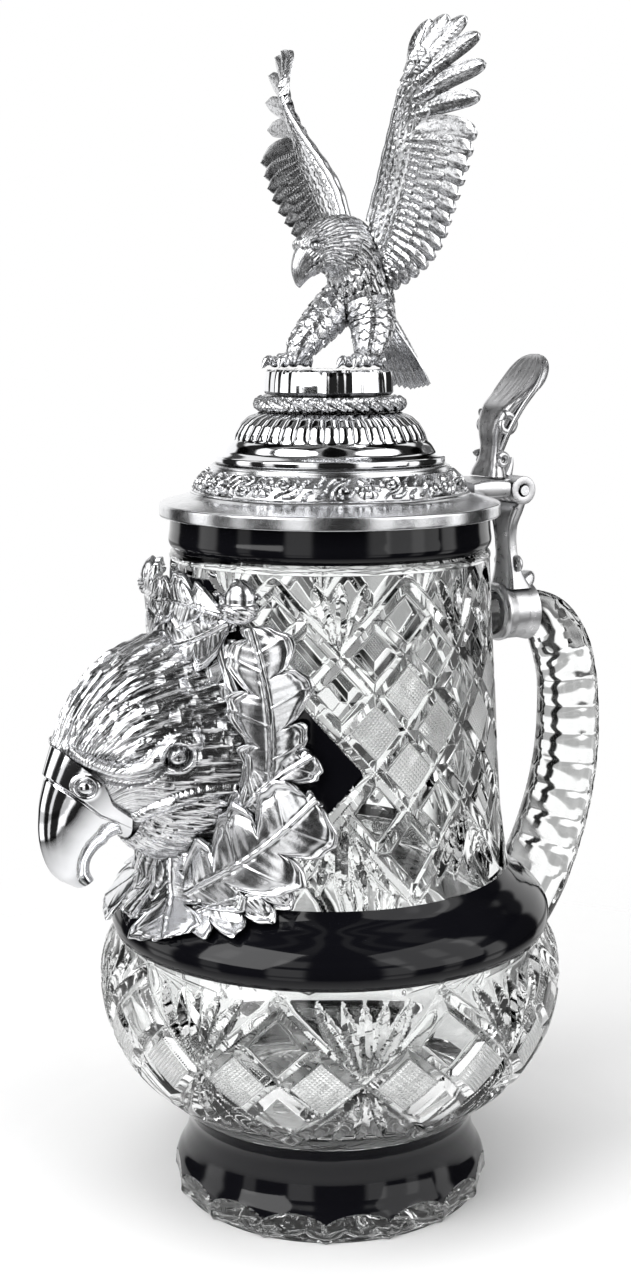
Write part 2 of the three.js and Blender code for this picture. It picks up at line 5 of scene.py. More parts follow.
import bpy
import numpy as np
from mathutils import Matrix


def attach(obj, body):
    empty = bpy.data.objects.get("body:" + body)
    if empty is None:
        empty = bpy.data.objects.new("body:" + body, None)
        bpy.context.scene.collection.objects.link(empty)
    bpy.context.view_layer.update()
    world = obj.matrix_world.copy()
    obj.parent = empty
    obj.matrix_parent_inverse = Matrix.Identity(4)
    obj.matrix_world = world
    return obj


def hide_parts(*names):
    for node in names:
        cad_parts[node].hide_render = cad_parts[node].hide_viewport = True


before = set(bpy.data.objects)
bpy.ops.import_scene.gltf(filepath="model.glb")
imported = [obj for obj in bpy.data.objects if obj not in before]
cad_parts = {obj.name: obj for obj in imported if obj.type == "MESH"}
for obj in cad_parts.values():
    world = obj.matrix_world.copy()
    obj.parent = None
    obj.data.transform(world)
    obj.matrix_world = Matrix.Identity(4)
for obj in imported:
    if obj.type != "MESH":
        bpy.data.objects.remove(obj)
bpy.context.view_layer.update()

# ------------------------------------------------------------------ driving dimensions, in mm

MM = 0.001
TURN = 2 * math.pi

COLUMNS = 720                    # steps round the cut glass and the cast rings
SMOOTH_COLUMNS = 180             # steps round the plain turned faces
CASING = 1.5                     # thickness of the black glass layer
SEAM = 0.06                      # gap between the crystal and the black layer

RIM_Z = 199.1

FOOT_OUTLINE = [
    (46.2, 0), (47.0, 1.2), (46.9, 4), (46.0, 8), (43.9, 12), (42.5, 17), (42.6, 21), (44.4, 25),
    (46.6, 28),
]
BULB_OUTLINE = [
    (46.9, 28.3), (50.9, 32), (57.6, 38), (62.0, 43.8), (65.3, 51), (67.2, 58.5), (67.8, 66),
    (66.7, 73.5), (63.2, 80.4),
]
SHOULDER_OUTLINE = [
    (63.2, 80.4), (64.1, 82.6), (63.9, 86), (61.9, 89.5), (57.6, 93.4), (54.2, 96.2), (52.2, 98.7),
]
COLUMN_OUTLINE = [
    (52.2, 98.7), (50.9, 106), (49.9, 114), (48.7, 130), (47.6, 150), (46.5, 168), (45.7, 184),
    (45.5, 187.4),
]
NECK_OUTLINE = [(45.6, 187.5), (45.75, 188.3), (45.5, 189.3), (44.6, 190)]
COLLAR_OUTLINE = [(44.6, 190), (45.7, 191.6), (45.6, 196), (45.4, RIM_Z)]
HOLLOW_OUTLINE = [
    (39.5, RIM_Z), (39.5, 188), (41.6, 145), (44.4, 99), (48.5, 88), (57, 77), (60.6, 65),
    (58.6, 52), (50, 39), (36, 31.4), (18, 31),
]

# ------------------------------------------------------------------ mesh helpers


def turns(count):
    """Angles of even steps round a circle."""
    return np.arange(count) / count * TURN


def unit(value):
    """A value held between 0 and 1."""
    return np.clip(value, 0, 1)


def dome(value):
    """A quarter circle: 1 where the value is 0, and 0 from 1 on."""
    return np.sqrt(unit(1 - value**2))


def bell(value):
    """1 where the value is 0, soon falling off on both sides."""
    return np.exp(-(value**2))


def soft_step(value, width):
    """Rises from 0 to 1 over a width, with its middle where the value is 0."""
    return unit(value / width + 0.5)


def about_axis(radius, theta, z):
    """Points at a radius from the stein's axis, an angle from -Y and a height."""
    return np.stack(np.broadcast_arrays(radius * np.sin(theta), -radius * np.cos(theta), z), axis=-1)


def curve_through(points, count):
    """Evenly spaced samples of a smooth curve through the given points."""
    p = np.array(points, float)
    knots = np.concatenate([[0], np.cumsum(np.linalg.norm(np.diff(p, axis=0), axis=1))])
    slopes = np.gradient(p, knots, axis=0)
    t = np.linspace(0, knots[-1], count)
    i = np.clip(np.searchsorted(knots, t, side="right") - 1, 0, len(p) - 2)
    width = (knots[i + 1] - knots[i])[:, None]
    x = (t - knots[i])[:, None] / width
    return (
        (2 * x**3 - 3 * x**2 + 1) * p[i]
        + (x**3 - 2 * x**2 + x) * width * slopes[i]
        + (3 * x**2 - 2 * x**3) * p[i + 1]
        + (x**3 - x**2) * width * slopes[i + 1]
    )


def outward(profile):
    """Unit normals of a [radius, height] profile that runs upwards with its solid on the axis side."""
    along = np.gradient(profile, axis=0)
    normal = np.stack([along[:, 1], -along[:, 0]], axis=1)
    return normal / np.linalg.norm(normal, axis=1)[:, None]


def turned_points(profile, theta, height=None):
    """Points of a profile turned about Z, each raised along its own normal. Theta 0 is -Y."""
    columns = theta.shape[-1]
    radius = np.repeat(profile[:, :1], columns, axis=1)
    z = np.repeat(profile[:, 1:], columns, axis=1)
    if height is not None:
        normal = outward(profile)
        radius = radius + height * normal[:, :1]
        z = z + height * normal[:, 1:]
    return about_axis(radius, theta, z)


def grid_faces(rows, columns, flip=None):
    """Quads of a grid of points. Where flip is true a quad starts one corner on, so that it
    splits into triangles along its other diagonal."""
    r, c = np.meshgrid(np.arange(rows - 1), np.arange(columns), indexing="ij")
    d = (c + 1) % columns
    quads = np.stack([r * columns + c, r * columns + d, (r + 1) * columns + d, (r + 1) * columns + c], axis=2)
    if flip is not None:
        quads = np.where(flip[..., None], np.roll(quads, -1, axis=2), quads)
    return quads.reshape(-1, 4)


def best_diagonals(points, middles):
    """True where the second diagonal of a quad passes nearer to the surface's own middle point."""
    nxt = np.roll(points, -1, axis=1)
    first = (points[:-1] + nxt[1:]) / 2
    second = (nxt[:-1] + points[1:]) / 2
    return np.linalg.norm(second - middles, axis=2) < np.linalg.norm(first - middles, axis=2)


def placed(name, data):
    """A new object in the scene."""
    piece = bpy.data.objects.new(name, data)
    bpy.context.collection.objects.link(piece)
    return piece


class Shell:
    """Collects points, faces and point attributes for one mesh."""

    def __init__(self):
        self.points = []
        self.faces = []
        self.marks = []
        self.count = 0

    def add(self, points, faces=(), marks=None):
        start = self.count
        flat = np.asarray(points, float).reshape(-1, 3)
        self.points.append(flat)
        self.marks.append(np.zeros((len(flat), 3)) if marks is None else marks.reshape(-1, 3))
        self.count += len(flat)
        if len(faces):
            self.faces.extend((np.asarray(faces) + start).tolist())
        return start

    def add_grid(self, points, flip=None, marks=None, inside_out=False):
        faces = grid_faces(*points.shape[:2], flip)
        if inside_out:
            faces = faces[:, ::-1]
        return self.add(points, faces, marks)

    def add_loop(self, points):
        """Add a grid of points whose last row joins its first."""
        rows, columns = points.shape[:2]
        return self.add(points, grid_faces(rows + 1, columns) % (rows * columns))

    def build(self, name, material, body, replaces=(), crease=30, turn=0.0):
        """Make the object, turned about the stein's axis by an angle."""
        mesh = bpy.data.meshes.new(name)
        points = np.concatenate(self.points) * MM
        c, d = math.cos(turn), math.sin(turn)
        points = points @ np.array([[c, d, 0], [-d, c, 0], [0, 0, 1]])
        mesh.from_pydata(points, [], self.faces)
        mesh.polygons.foreach_set("use_smooth", np.ones(len(mesh.polygons), bool))
        marks = np.concatenate(self.marks)
        if marks.any():
            layer = mesh.attributes.new("marks", "FLOAT_VECTOR", "POINT")
            layer.data.foreach_set("vector", marks.astype(np.float32).ravel())
        mesh.update()
        mesh.set_sharp_from_angle(angle=math.radians(crease))
        piece = placed(name, mesh)
        mesh.materials.append(material)
        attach(piece, body)
        if replaces:
            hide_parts(*replaces)
        return piece


# ------------------------------------------------------------------ materials


class Nodes:
    """A short way to write a node tree."""

    def __init__(self, tree):
        self.tree = tree

    def add(self, kind, inputs=None, **settings):
        node = self.tree.nodes.new(kind)
        for key, value in settings.items():
            setattr(node, key, value)
        for key, value in (inputs or {}).items():
            if isinstance(value, bpy.types.NodeSocket):
                self.tree.links.new(value, node.inputs[key])
            else:
                node.inputs[key].default_value = value
        return node

    def math(self, operation, a, b=0.0, clamp=False):
        return self.add("ShaderNodeMath", {0: a, 1: b}, operation=operation, use_clamp=clamp).outputs[0]

    def spread(self, value, low, high, to_low=0.0, to_high=1.0):
        return self.add("ShaderNodeMapRange", {
            "Value": value, "From Min": low, "From Max": high, "To Min": to_low, "To Max": to_high,
        }).outputs["Result"]

    def mix_colour(self, share, a, b):
        node = self.add("ShaderNodeMix", data_type="RGBA")
        for socket, value in ((0, share), (6, a), (7, b)):
            if isinstance(value, bpy.types.NodeSocket):
                self.tree.links.new(value, node.inputs[socket])
            else:
                node.inputs[socket].default_value = value
        return node.outputs[2]

    def noise(self, scale, detail=4.0, roughness=0.55, vector=None):
        inputs = {"Scale": scale, "Detail": detail, "Roughness": roughness}
        if vector is not None:
            inputs["Vector"] = vector
        return self.add("ShaderNodeTexNoise", inputs).outputs["Fac"]

    def bump(self, height, strength, distance, normal=None):
        inputs = {"Height": height, "Strength": strength, "Distance": distance}
        if normal is not None:
            inputs["Normal"] = normal
        return self.add("ShaderNodeBump", inputs).outputs["Normal"]


def new_material(name):
    material = bpy.data.materials.new(name)
    material.use_nodes = True
    tree = material.node_tree
    nodes = Nodes(tree)
    shader = tree.nodes["Principled BSDF"]
    position = nodes.add("ShaderNodeTexCoord").outputs["Object"]
    return material, nodes, shader, position


def link(nodes, output, socket):
    nodes.tree.links.new(output, socket)


def crystal_material():
    """Clear lead crystal. The marks attribute holds the hatch's two coordinates and its mask."""
    material, nodes, shader, position = new_material("crystal")
    shader.inputs["Base Color"].default_value = (0.985, 0.993, 0.99, 1)
    shader.inputs["Transmission Weight"].default_value = 1.0
    shader.inputs["IOR"].default_value = 1.54
    marks = nodes.add("ShaderNodeAttribute", attribute_name="marks").outputs["Vector"]
    split = nodes.add("ShaderNodeSeparateXYZ", {0: marks})
    mask = nodes.spread(split.outputs["Z"], 0.45, 0.6)
    saw = [
        nodes.math("PINGPONG", nodes.math("MULTIPLY", split.outputs[axis], HATCH_LINES), 0.5)
        for axis in ("X", "Y")
    ]
    pyramids = nodes.math("MINIMUM", *saw)
    hatch = nodes.math("MULTIPLY", pyramids, mask)
    ripple = nodes.noise(38.0, 2.0, 0.4, position)
    fine = nodes.bump(ripple, 0.05, 0.0006)
    link(nodes, nodes.bump(hatch, 1.0, 0.0011, fine), shader.inputs["Normal"])
    smear = nodes.noise(160.0, 3.0, 0.6, position)
    polish = nodes.spread(smear, 0.35, 0.75, 0.0, 0.02)
    frosted = nodes.math("ADD", polish, nodes.math("MULTIPLY", mask, 0.16))
    link(nodes, frosted, shader.inputs["Roughness"])
    link(nodes, nodes.spread(mask, 0, 1, 1.0, 0.6), shader.inputs["Transmission Weight"])
    return material


def black_glass_material():
    material, nodes, shader, position = new_material("black_glass")
    cloud = nodes.noise(26.0, 3.0, 0.5, position)
    colour = nodes.mix_colour(cloud, (0.002, 0.002, 0.003, 1), (0.006, 0.006, 0.008, 1))
    link(nodes, colour, shader.inputs["Base Color"])
    shader.inputs["IOR"].default_value = 1.54
    shader.inputs["Specular IOR Level"].default_value = 0.25
    smear = nodes.noise(70.0, 4.0, 0.6, position)
    link(nodes, nodes.spread(smear, 0.3, 0.8, 0.05, 0.11), shader.inputs["Roughness"])
    ripple = nodes.noise(24.0, 2.0, 0.4, position)
    link(nodes, nodes.bump(ripple, 0.06, 0.0008), shader.inputs["Normal"])
    return material


def pewter_material(name, bright, dark, rough, scratch, darkness, reach=0.0025, streaks=0.0, mottle=0.25):
    """Cast pewter: dark patina in the hollows, rubbed bright on the high parts. Streaks are fine
    lines that run the way the marks attribute's first coordinate runs."""
    material, nodes, shader, position = new_material(name)
    shader.inputs["Metallic"].default_value = 1.0
    shade = nodes.add("ShaderNodeAmbientOcclusion", {"Distance": reach}, samples=6).outputs["AO"]
    hollow = nodes.spread(shade, 0.25, 0.8)
    patina = nodes.noise(420.0, 5.0, 0.6, position)
    speckle = nodes.math("MULTIPLY", nodes.math("SUBTRACT", patina, 0.5), mottle)
    worn = nodes.math("ADD", hollow, speckle, clamp=True)
    if streaks:
        marks = nodes.add("ShaderNodeAttribute", attribute_name="marks").outputs["Vector"]
        hairs = nodes.noise(1.0, 3.0, 0.6, marks)
        worn = nodes.math("MULTIPLY", worn, nodes.spread(hairs, 0.36, 0.5, 0.25, 1.0), clamp=True)
    keep = nodes.math("ADD", nodes.math("MULTIPLY", worn, darkness), 1 - darkness, clamp=True)
    link(nodes, nodes.mix_colour(keep, dark, bright), shader.inputs["Base Color"])
    brushed = nodes.noise(900.0, 2.0, 0.5, position)
    gloss = nodes.spread(nodes.math("ADD", patina, nodes.math("MULTIPLY", brushed, 0.4)), 0.4, 1.0,
                         rough * 0.75, rough * 1.35)
    link(nodes, gloss, shader.inputs["Roughness"])
    grain = nodes.bump(brushed, scratch, 0.0001)
    if streaks:
        grain = nodes.bump(hairs, streaks, 0.0006, grain)
    dents = nodes.noise(120.0, 4.0, 0.5, position)
    link(nodes, nodes.bump(dents, scratch, 0.0003, grain), shader.inputs["Normal"])
    return material


HATCH_LINES = 16.0
LIGHT_PEWTER = (0.74, 0.745, 0.76, 1)
crystal = crystal_material()
black_glass = black_glass_material()
pewter = pewter_material("pewter_cast", (0.66, 0.665, 0.68, 1), (0.035, 0.035, 0.038, 1), 0.24, 0.25, 1.0)
feathered = pewter_material(
    "pewter_feathered", (0.84, 0.845, 0.86, 1), (0.02, 0.02, 0.022, 1), 0.17, 0.15, 1.0, 0.003, 0.5)
small_feathered = pewter_material(
    "pewter_fine", LIGHT_PEWTER, (0.04, 0.04, 0.043, 1), 0.24, 0.15, 1.0, 0.0018, 0.2)
satin = pewter_material("pewter_satin", (0.66, 0.66, 0.67, 1), (0.12, 0.12, 0.125, 1), 0.3, 0.2, 0.7)
leafy = pewter_material("pewter_leaves", LIGHT_PEWTER, (0.03, 0.03, 0.033, 1), 0.2, 0.3, 1.0, 0.002)
spun = pewter_material(
    "pewter_spun", LIGHT_PEWTER, (0.02, 0.02, 0.022, 1), 0.2, 0.08, 1.0, 0.0022, mottle=0.05)
polished = pewter_material("pewter_polished", (0.78, 0.785, 0.8, 1), (0.1, 0.1, 0.1, 1), 0.07, 0.06, 0.6)

# ------------------------------------------------------------------ cut pattern of the crystal


LATTICE_ROWS = 5                    # more rows of cells than any lattice needs
MARK_OFFSET = 40                    # whole cells added to keep the hatch coordinates positive


class Lattice:
    """Diamond lattice of V grooves on a turned surface, with fans of leaf cuts. Across counts cells
    round the axis, down counts rows of cells from the top line. Rows of mesh points fall on the
    lattice, so that each crease is crisp."""

    def __init__(self, around, phase, row_heights, outline, low_z, high_z, groove, depth, fans):
        self.groove, self.depth, self.fans = groove, depth, fans
        self.cell_angle = TURN / around
        self.phase = phase
        self.row_heights = row_heights
        self.per_cell = COLUMNS // around
        self.profile = curve_through(outline, 400)
        rows = np.arange(-self.per_cell, self.per_cell * LATTICE_ROWS) / self.per_cell
        z = self.height_at(rows)
        self.z = z[(z > low_z) & (z < high_z)][::-1]

    def height_at(self, down):
        """Height of a row of cells, a quadratic in the row's number."""
        return np.polyval(self.row_heights, down)

    def place(self, theta, z):
        a, b, c = self.row_heights
        down = (-b - np.sqrt(np.maximum(b * b - 4 * a * (c - z), 0))) / (2 * a)
        width = np.interp(z, self.profile[:, 1], self.profile[:, 0]) * self.cell_angle
        return (theta - self.phase) / self.cell_angle, down, width, -(2 * a * down + b)

    def snap(self, theta, z):
        """Turn that puts mesh points on the middle lines of the fans' leaves."""
        place = self.place(theta, z)
        return sum(fan.snap(*place, 1 / self.per_cell) for fan in self.fans) * self.cell_angle

    def cuts(self, theta, z):
        """Depth of all the cuts. Grooves are left out inside the fans but kept along their edges."""
        across, down, width, height = self.place(theta, z)
        lines = np.minimum(to_line(across + down), to_line(across - down))
        for fan in self.fans:
            inside = fan.inside(across, down)
            lines = np.where(inside > 0, np.minimum(inside, 1), lines)
        cut = mitre(lines, self.groove, self.depth)
        for fan in self.fans:
            cut = np.maximum(cut, fan.cuts(across, down, width, height))
        return across, down, cut

    def marks(self, across, down, chosen, fade):
        """Hatch coordinates and mask for the small diamonds that chosen picks by their centre."""
        a, b = across + down, across - down
        picked = chosen((np.floor(a) + np.floor(b) + 1) / 2, (np.floor(a) - np.floor(b)) / 2)
        to_edge = np.minimum(to_line(a), to_line(b)) - self.groove
        mask = np.where(picked, unit(0.5 + to_edge * 20), 0) * (fade > 0.5)
        return np.stack([a + MARK_OFFSET, b + MARK_OFFSET, mask], axis=-1)

    def outline(self):
        low, high = self.profile[0], self.profile[-1]
        inner = np.stack([np.interp(self.z, self.profile[:, 1], self.profile[:, 0]), self.z], axis=1)
        return np.concatenate([[low], inner, [high]])


def mitre(distance, half_width, depth):
    """Depth of a V groove at a distance from its middle line."""
    return depth * unit(1 - np.abs(distance) / half_width)


def to_line(value):
    return np.abs(value - np.round(value))


def leaf_cut(x, y, lean, length, half_width, depth):
    """A leaf-shaped V cut from the origin, narrow at its start, that leans by an angle from +y."""
    along = (x * math.sin(lean) + y * math.cos(lean)) / length
    across = x * math.cos(lean) - y * math.sin(lean)
    swell = np.sin(math.pi * unit(along) ** 1.7) ** 0.75
    return depth * swell * unit(1 - np.abs(across) / (half_width * swell + 1e-6))


class Fan:
    """Leaf cuts that spread from the nodes in every second column of the lattice."""

    def __init__(self, apex_row, upward, leans, length, half_width, depth):
        self.apex_row = apex_row
        self.way = 1 if upward else -1
        self.leans = [math.radians(lean) for lean in leans]
        self.length = length
        self.half_width = half_width
        self.depth = depth

    def place(self, across, down, cell_width, row_height):
        x = (across - 2 * np.round(across / 2)) * cell_width
        return x, (self.apex_row - down) * row_height * self.way

    def cuts(self, across, down, cell_width, row_height):
        x, y = self.place(across, down, cell_width, row_height)
        cuts = [
            leaf_cut(x, y, lean, self.length / math.cos(lean), self.half_width, self.depth)
            for lean in self.leans
        ]
        return np.where(self.inside(across, down) > 0.05, np.max(cuts, axis=0), 0)

    def inside(self, across, down):
        """How far inside the fan's triangle a place is, in cells; negative outside."""
        return (self.apex_row - down) * self.way - np.abs(across - 2 * np.round(across / 2))

    def snap(self, across, down, cell_width, row_height, step):
        """Sideways move, in cells, that puts the nearest point of each row on a leaf's middle line."""
        x, y = self.place(across, down, cell_width, row_height)
        offsets = np.stack([y * math.tan(lean) - x for lean in self.leans])
        nearest = np.take_along_axis(offsets, np.abs(offsets).argmin(axis=0)[None], axis=0)[0]
        near = (np.abs(nearest) <= step * cell_width * 0.5) & (self.inside(across, down) > 0.08)
        return np.where(near, nearest / cell_width, 0)


COLUMN_CELLS = 16                   # cells round the column
column_lattice = Lattice(
    COLUMN_CELLS, math.radians(65.5), (-0.62, -18.4, 185.0), COLUMN_OUTLINE, 98.9, 187.2,
    groove=7 / 45, depth=1.35, fans=(
        Fan(1, True, (-20.5, 0, 20.5), 18.6, 1.9, 1.5),
        Fan(3, False, (-31, -16, 0, 16, 31), 21.5, 1.75, 1.4),
    ))
bulb_lattice = Lattice(
    18, math.radians(70), (-0.01, -22.3, 77.0), BULB_OUTLINE, 28.6, 80.0,
    groove=6 / 40, depth=1.6, fans=(
        Fan(1, True, (-29, -14.5, 0, 14.5, 29), 23.0, 2.0, 1.8),
        Fan(1, False, (-36, -19, 0, 19, 36), 19.5, 2.0, 1.6),
    ))

PANEL_CENTRE = -3                   # the black diamond's centre, in cells from the fan column
PANEL_ROW = 2.5
PANEL_REACH = 3.5
PANEL_MARGIN = 8 / 45


def panel_depth(across, down):
    """How far inside the black diamond a place is, in cells of the lattice."""
    half_round = COLUMN_CELLS / 2
    wrapped = (across - PANEL_CENTRE + half_round) % COLUMN_CELLS - half_round
    return PANEL_REACH - np.abs(wrapped) - np.abs(down - PANEL_ROW)


def column_hatched(across, down):
    odd = 2 * np.round((across - 1) / 2) + 1
    return (np.abs(across - odd) + np.abs(down - 2) < 0.6) & (panel_depth(across, down) < 0)


def bulb_hatched(across, down):
    return (np.abs(down - 1) < 0.1) & (np.abs(across - np.round(across)) > 0.4)


def column_surface(theta, z):
    across, down, cut = column_lattice.cuts(theta, z)
    fade = unit((z - 99.2) / 1.2) * unit((187.0 - z) / 1.6)
    inside = panel_depth(across, down)
    cut = np.where(inside > 0, mitre(inside, column_lattice.groove, column_lattice.depth), cut) * fade
    cut = np.where(inside > PANEL_MARGIN, CASING + SEAM, cut)
    return -cut, column_lattice.marks(across, down, column_hatched, fade)


def bulb_surface(theta, z):
    across, down, cut = bulb_lattice.cuts(theta, z)
    fade = unit((z - 30.0) / 2.5) * unit((79.6 - z) / 1.5)
    return -cut * fade, bulb_lattice.marks(across, down, bulb_hatched, fade)


SCALLOPS = 16
SCALLOP_PHASE = math.radians(62 - 1.3)
SCALLOP_LOW_Z, SCALLOP_RISE = 5.6, 3.0


def arch(theta):
    """Rise of the arches round the foot, 0 where they meet and 1 in the middle of each."""
    share = ((theta - SCALLOP_PHASE) / TURN * SCALLOPS) % 1
    return np.sin(math.pi * share)


def scallop_edge(theta):
    """Height of the black layer's lower edge: arches that meet in points."""
    return SCALLOP_LOW_Z + SCALLOP_RISE * arch(theta) ** 0.6


def foot_surface(theta, z):
    """The foot below the black layer: a hollow under each arch, crossed by a shallow groove."""
    hollow = 1.5 * arch(theta) ** 0.7
    fade = unit((scallop_edge(theta) - z) / 5.0) ** 0.7
    groove = 0.5 * (1 - unit(np.abs(2 * ((z - 1) / 4) - 1)))
    cut = hollow * fade + groove * 0.4 * fade
    cut = np.where(z > scallop_edge(theta) - 0.05, CASING + SEAM, cut)
    return -cut, np.zeros(np.broadcast(theta, z).shape + (3,))


def plain_surface(theta, z, depth=0.0):
    shape = np.broadcast(theta, z).shape
    return np.full(shape, -depth), np.zeros(shape + (3,))


def recess(theta, z):
    """Glass cut back to make room for a black layer."""
    return plain_surface(theta, z, CASING + SEAM)


def no_snap(theta, z):
    """For a surface whose mesh points stay where they are."""
    return np.zeros(np.broadcast(theta, z).shape)


UNDERSIDE_RAYS = 24
UNDERSIDE_RADII = (46.2, 4.0)       # the foot's edge, and the flat middle of the star under it
UNDERSIDE_ROWS = 40


def crystal_glass():
    theta = turns(COLUMNS)
    half = math.pi / COLUMNS
    zones = (
        (curve_through(FOOT_OUTLINE, 40), foot_surface, no_snap),
        (bulb_lattice.outline(), bulb_surface, bulb_lattice.snap),
        (curve_through(SHOULDER_OUTLINE, 14), recess, no_snap),
        (column_lattice.outline(), column_surface, column_lattice.snap),
        (curve_through(NECK_OUTLINE, 7), plain_surface, no_snap),
        (curve_through(COLLAR_OUTLINE, 5), recess, no_snap),
    )
    rows, middles, marks = [], [], []
    for profile, surface, snap in zones:
        z = profile[:, 1:]
        turned = theta[None, :] + snap(theta[None, :], z)
        raised, zone_marks = surface(turned, z)
        rows.append(turned_points(profile, turned, raised))
        marks.append(zone_marks)
        between = (profile[:-1] + profile[1:]) / 2
        mid_theta = (turned[:-1] + turned[1:]) / 2 + half
        mid_raised, _ = surface(mid_theta, between[:, 1:])
        centre = turned_points(between, mid_theta, mid_raised)
        middles += [centre, centre[-1:]]
    outer = np.concatenate(rows)
    middle = np.concatenate(middles[:-1])
    shell = Shell()
    shell.add_grid(outer, flip=best_diagonals(outer, middle), marks=np.concatenate(marks))

    coarse = SMOOTH_COLUMNS
    inner_theta = turns(coarse)
    inner = turned_points(curve_through(HOLLOW_OUTLINE, 60), inner_theta)
    start = shell.add_grid(inner)
    shell.faces.append([start + (len(inner) - 1) * coarse + i for i in range(coarse)])
    per = COLUMNS // coarse
    rim = (len(outer) - 1) * COLUMNS
    for i in range(coarse):
        fine = [rim + (i * per + k) % COLUMNS for k in range(per + 1)]
        shell.faces.append(fine + [start + (i + 1) % coarse, start + i])

    radii = np.linspace(*UNDERSIDE_RADII, UNDERSIDE_ROWS)[:, None]
    ray = 1 - np.abs(2 * ((theta[None, :] * UNDERSIDE_RAYS / TURN) % 1) - 1)
    depth = 1.1 * ray * unit((42 - radii) / 6)
    depth = depth * unit((radii - 4) / 8) + 0.5 * unit((43.5 - radii) / 0.8) * (radii > 4.5)
    under = about_axis(radii, theta, depth)
    under[0] = outer[0]
    base = shell.add_grid(under, inside_out=True)
    shell.faces.append([base + (UNDERSIDE_ROWS - 1) * COLUMNS + i for i in range(COLUMNS)][::-1])
    return shell.build("crystal_glass", crystal, "stein", ("crystal_body",), crease=20)


def black_band(name, outline, node, low_edge=None):
    """A black layer over part of the glass, as thick as the casing."""
    theta = turns(COLUMNS)
    outer = curve_through(outline, 46)
    normal = outward(outer)
    sheets = []
    for inset in (0.0, CASING):
        profile = outer - normal * inset
        points = turned_points(profile, theta)
        if low_edge is not None:
            low = low_edge(theta)[None, :]
            share = np.linspace(0, 1, len(outer))[:, None]
            z = low + (outer[-1, 1] - low) * share
            radius = np.interp(z, outer[:, 1], profile[:, 0])
            points = about_axis(radius, theta, z)
        sheets.append(points)
    loop = np.concatenate([sheets[0], sheets[1][::-1]])
    shell = Shell()
    shell.add_loop(loop)
    return shell.build(name, black_glass, "stein", (node,), crease=35)


def black_panel():
    """The black diamond behind the badge, its sides along the lattice's lines."""
    columns, rows = 200, 90
    lattice = column_lattice
    z = np.linspace(99.6, 184.6, rows)[:, None]
    _, down, width, _ = lattice.place(0.0, z)
    radius = width / lattice.cell_angle
    half = PANEL_REACH - np.abs(down - PANEL_ROW) - PANEL_MARGIN - 0.012
    across = PANEL_CENTRE + half * np.linspace(-1, 1, columns)[None, :]
    theta = across * lattice.cell_angle + lattice.phase
    sheets = []
    for inset in (0.0, CASING):
        sheets.append(about_axis(radius - inset, theta, z))
    loop = np.concatenate([sheets[0], sheets[1][:, ::-1]], axis=1)
    shell = Shell()
    shell.add_grid(loop)
    last = (rows - 1) * 2 * columns
    for i in range(columns - 1):
        rung = [i + 1, i, 2 * columns - 1 - i, 2 * columns - 2 - i]
        shell.faces.append(rung)
        shell.faces.append([last + corner for corner in reversed(rung)])
    return shell.build("black_panel_glass", black_glass, "stein", ("black_front_panel",))


crystal_glass()
black_band("black_foot_glass", FOOT_OUTLINE, "black_foot_band", scallop_edge)
black_band("black_shoulder_glass", SHOULDER_OUTLINE, "black_shoulder_band")
black_band("black_collar_glass", COLLAR_OUTLINE, "black_collar_band")
black_panel()

# ------------------------------------------------------------------ lofted and swept shapes


def squarish(centre, u, v, power=4.0, sides=28):
    """A closed ring round a centre, between an ellipse (power 2) and a rectangle."""
    t = turns(sides)
    c, d = np.cos(t), np.sin(t)
    a = np.sign(c) * np.abs(c) ** (2 / power)
    b = np.sign(d) * np.abs(d) ** (2 / power)
    return np.asarray(centre, float) + a[:, None] * np.asarray(u, float) + b[:, None] * np.asarray(v, float)


def add_loft(shell, rings, marks=None):
    """Skin closed rings of points, with flat ends. The skin is turned to face outwards."""
    points = np.asarray(rings, float)
    count, sides = points.shape[:2]
    faces = grid_faces(count, sides)
    caps = [list(range(sides))[::-1], [(count - 1) * sides + i for i in range(sides)]]
    flat = points.reshape(-1, 3)
    centre = points.mean(axis=1)
    quad = flat[faces]
    normal = np.cross(quad[:, 1] - quad[:, 0], quad[:, 3] - quad[:, 0])
    ring_of = faces[:, 0] // sides
    if np.sum(normal * (quad.mean(axis=1) - centre[ring_of])) < 0:
        faces = faces[:, ::-1]
        caps = [cap[::-1] for cap in caps]
    start = shell.add(points, faces, marks)
    shell.faces.extend([[start + i for i in cap] for cap in caps])


def frames(path):
    """Two directions square to a path at each of its points, with no sudden twist."""
    path = np.asarray(path, float)
    along = np.gradient(path, axis=0)
    along /= np.linalg.norm(along, axis=1)[:, None]
    side = np.cross(along[0], [0.31, 0.27, 0.91])
    sides = []
    for direction in along:
        side = side - direction * np.dot(side, direction)
        side /= np.linalg.norm(side)
        sides.append(side)
    sides = np.array(sides)
    return sides, np.cross(along, sides)


def tube_rings(path, radii, sides):
    """Rings round a path, with a radius at each of its points."""
    path = np.asarray(path, float)
    u, v = frames(path)
    t = turns(sides)[None, :, None]
    spokes = np.cos(t) * u[:, None] + np.sin(t) * v[:, None]
    return path[:, None] + np.asarray(radii)[:, None, None] * spokes


def add_tube(shell, path, radii, sides=12):
    add_loft(shell, tube_rings(path, radii, sides))


CURL_POINTS = 50


def spiral(rounds, radius, grow, start=0.0):
    """Flat spiral that opens from the middle outwards, as [x, y]."""
    t = np.linspace(0, 1, CURL_POINTS)
    r = radius * (0.12 + 0.88 * t**grow)
    angle = start + t * rounds * TURN
    return np.stack([r * np.cos(angle), r * np.sin(angle)], axis=1)


CORNER_POINTS = 4


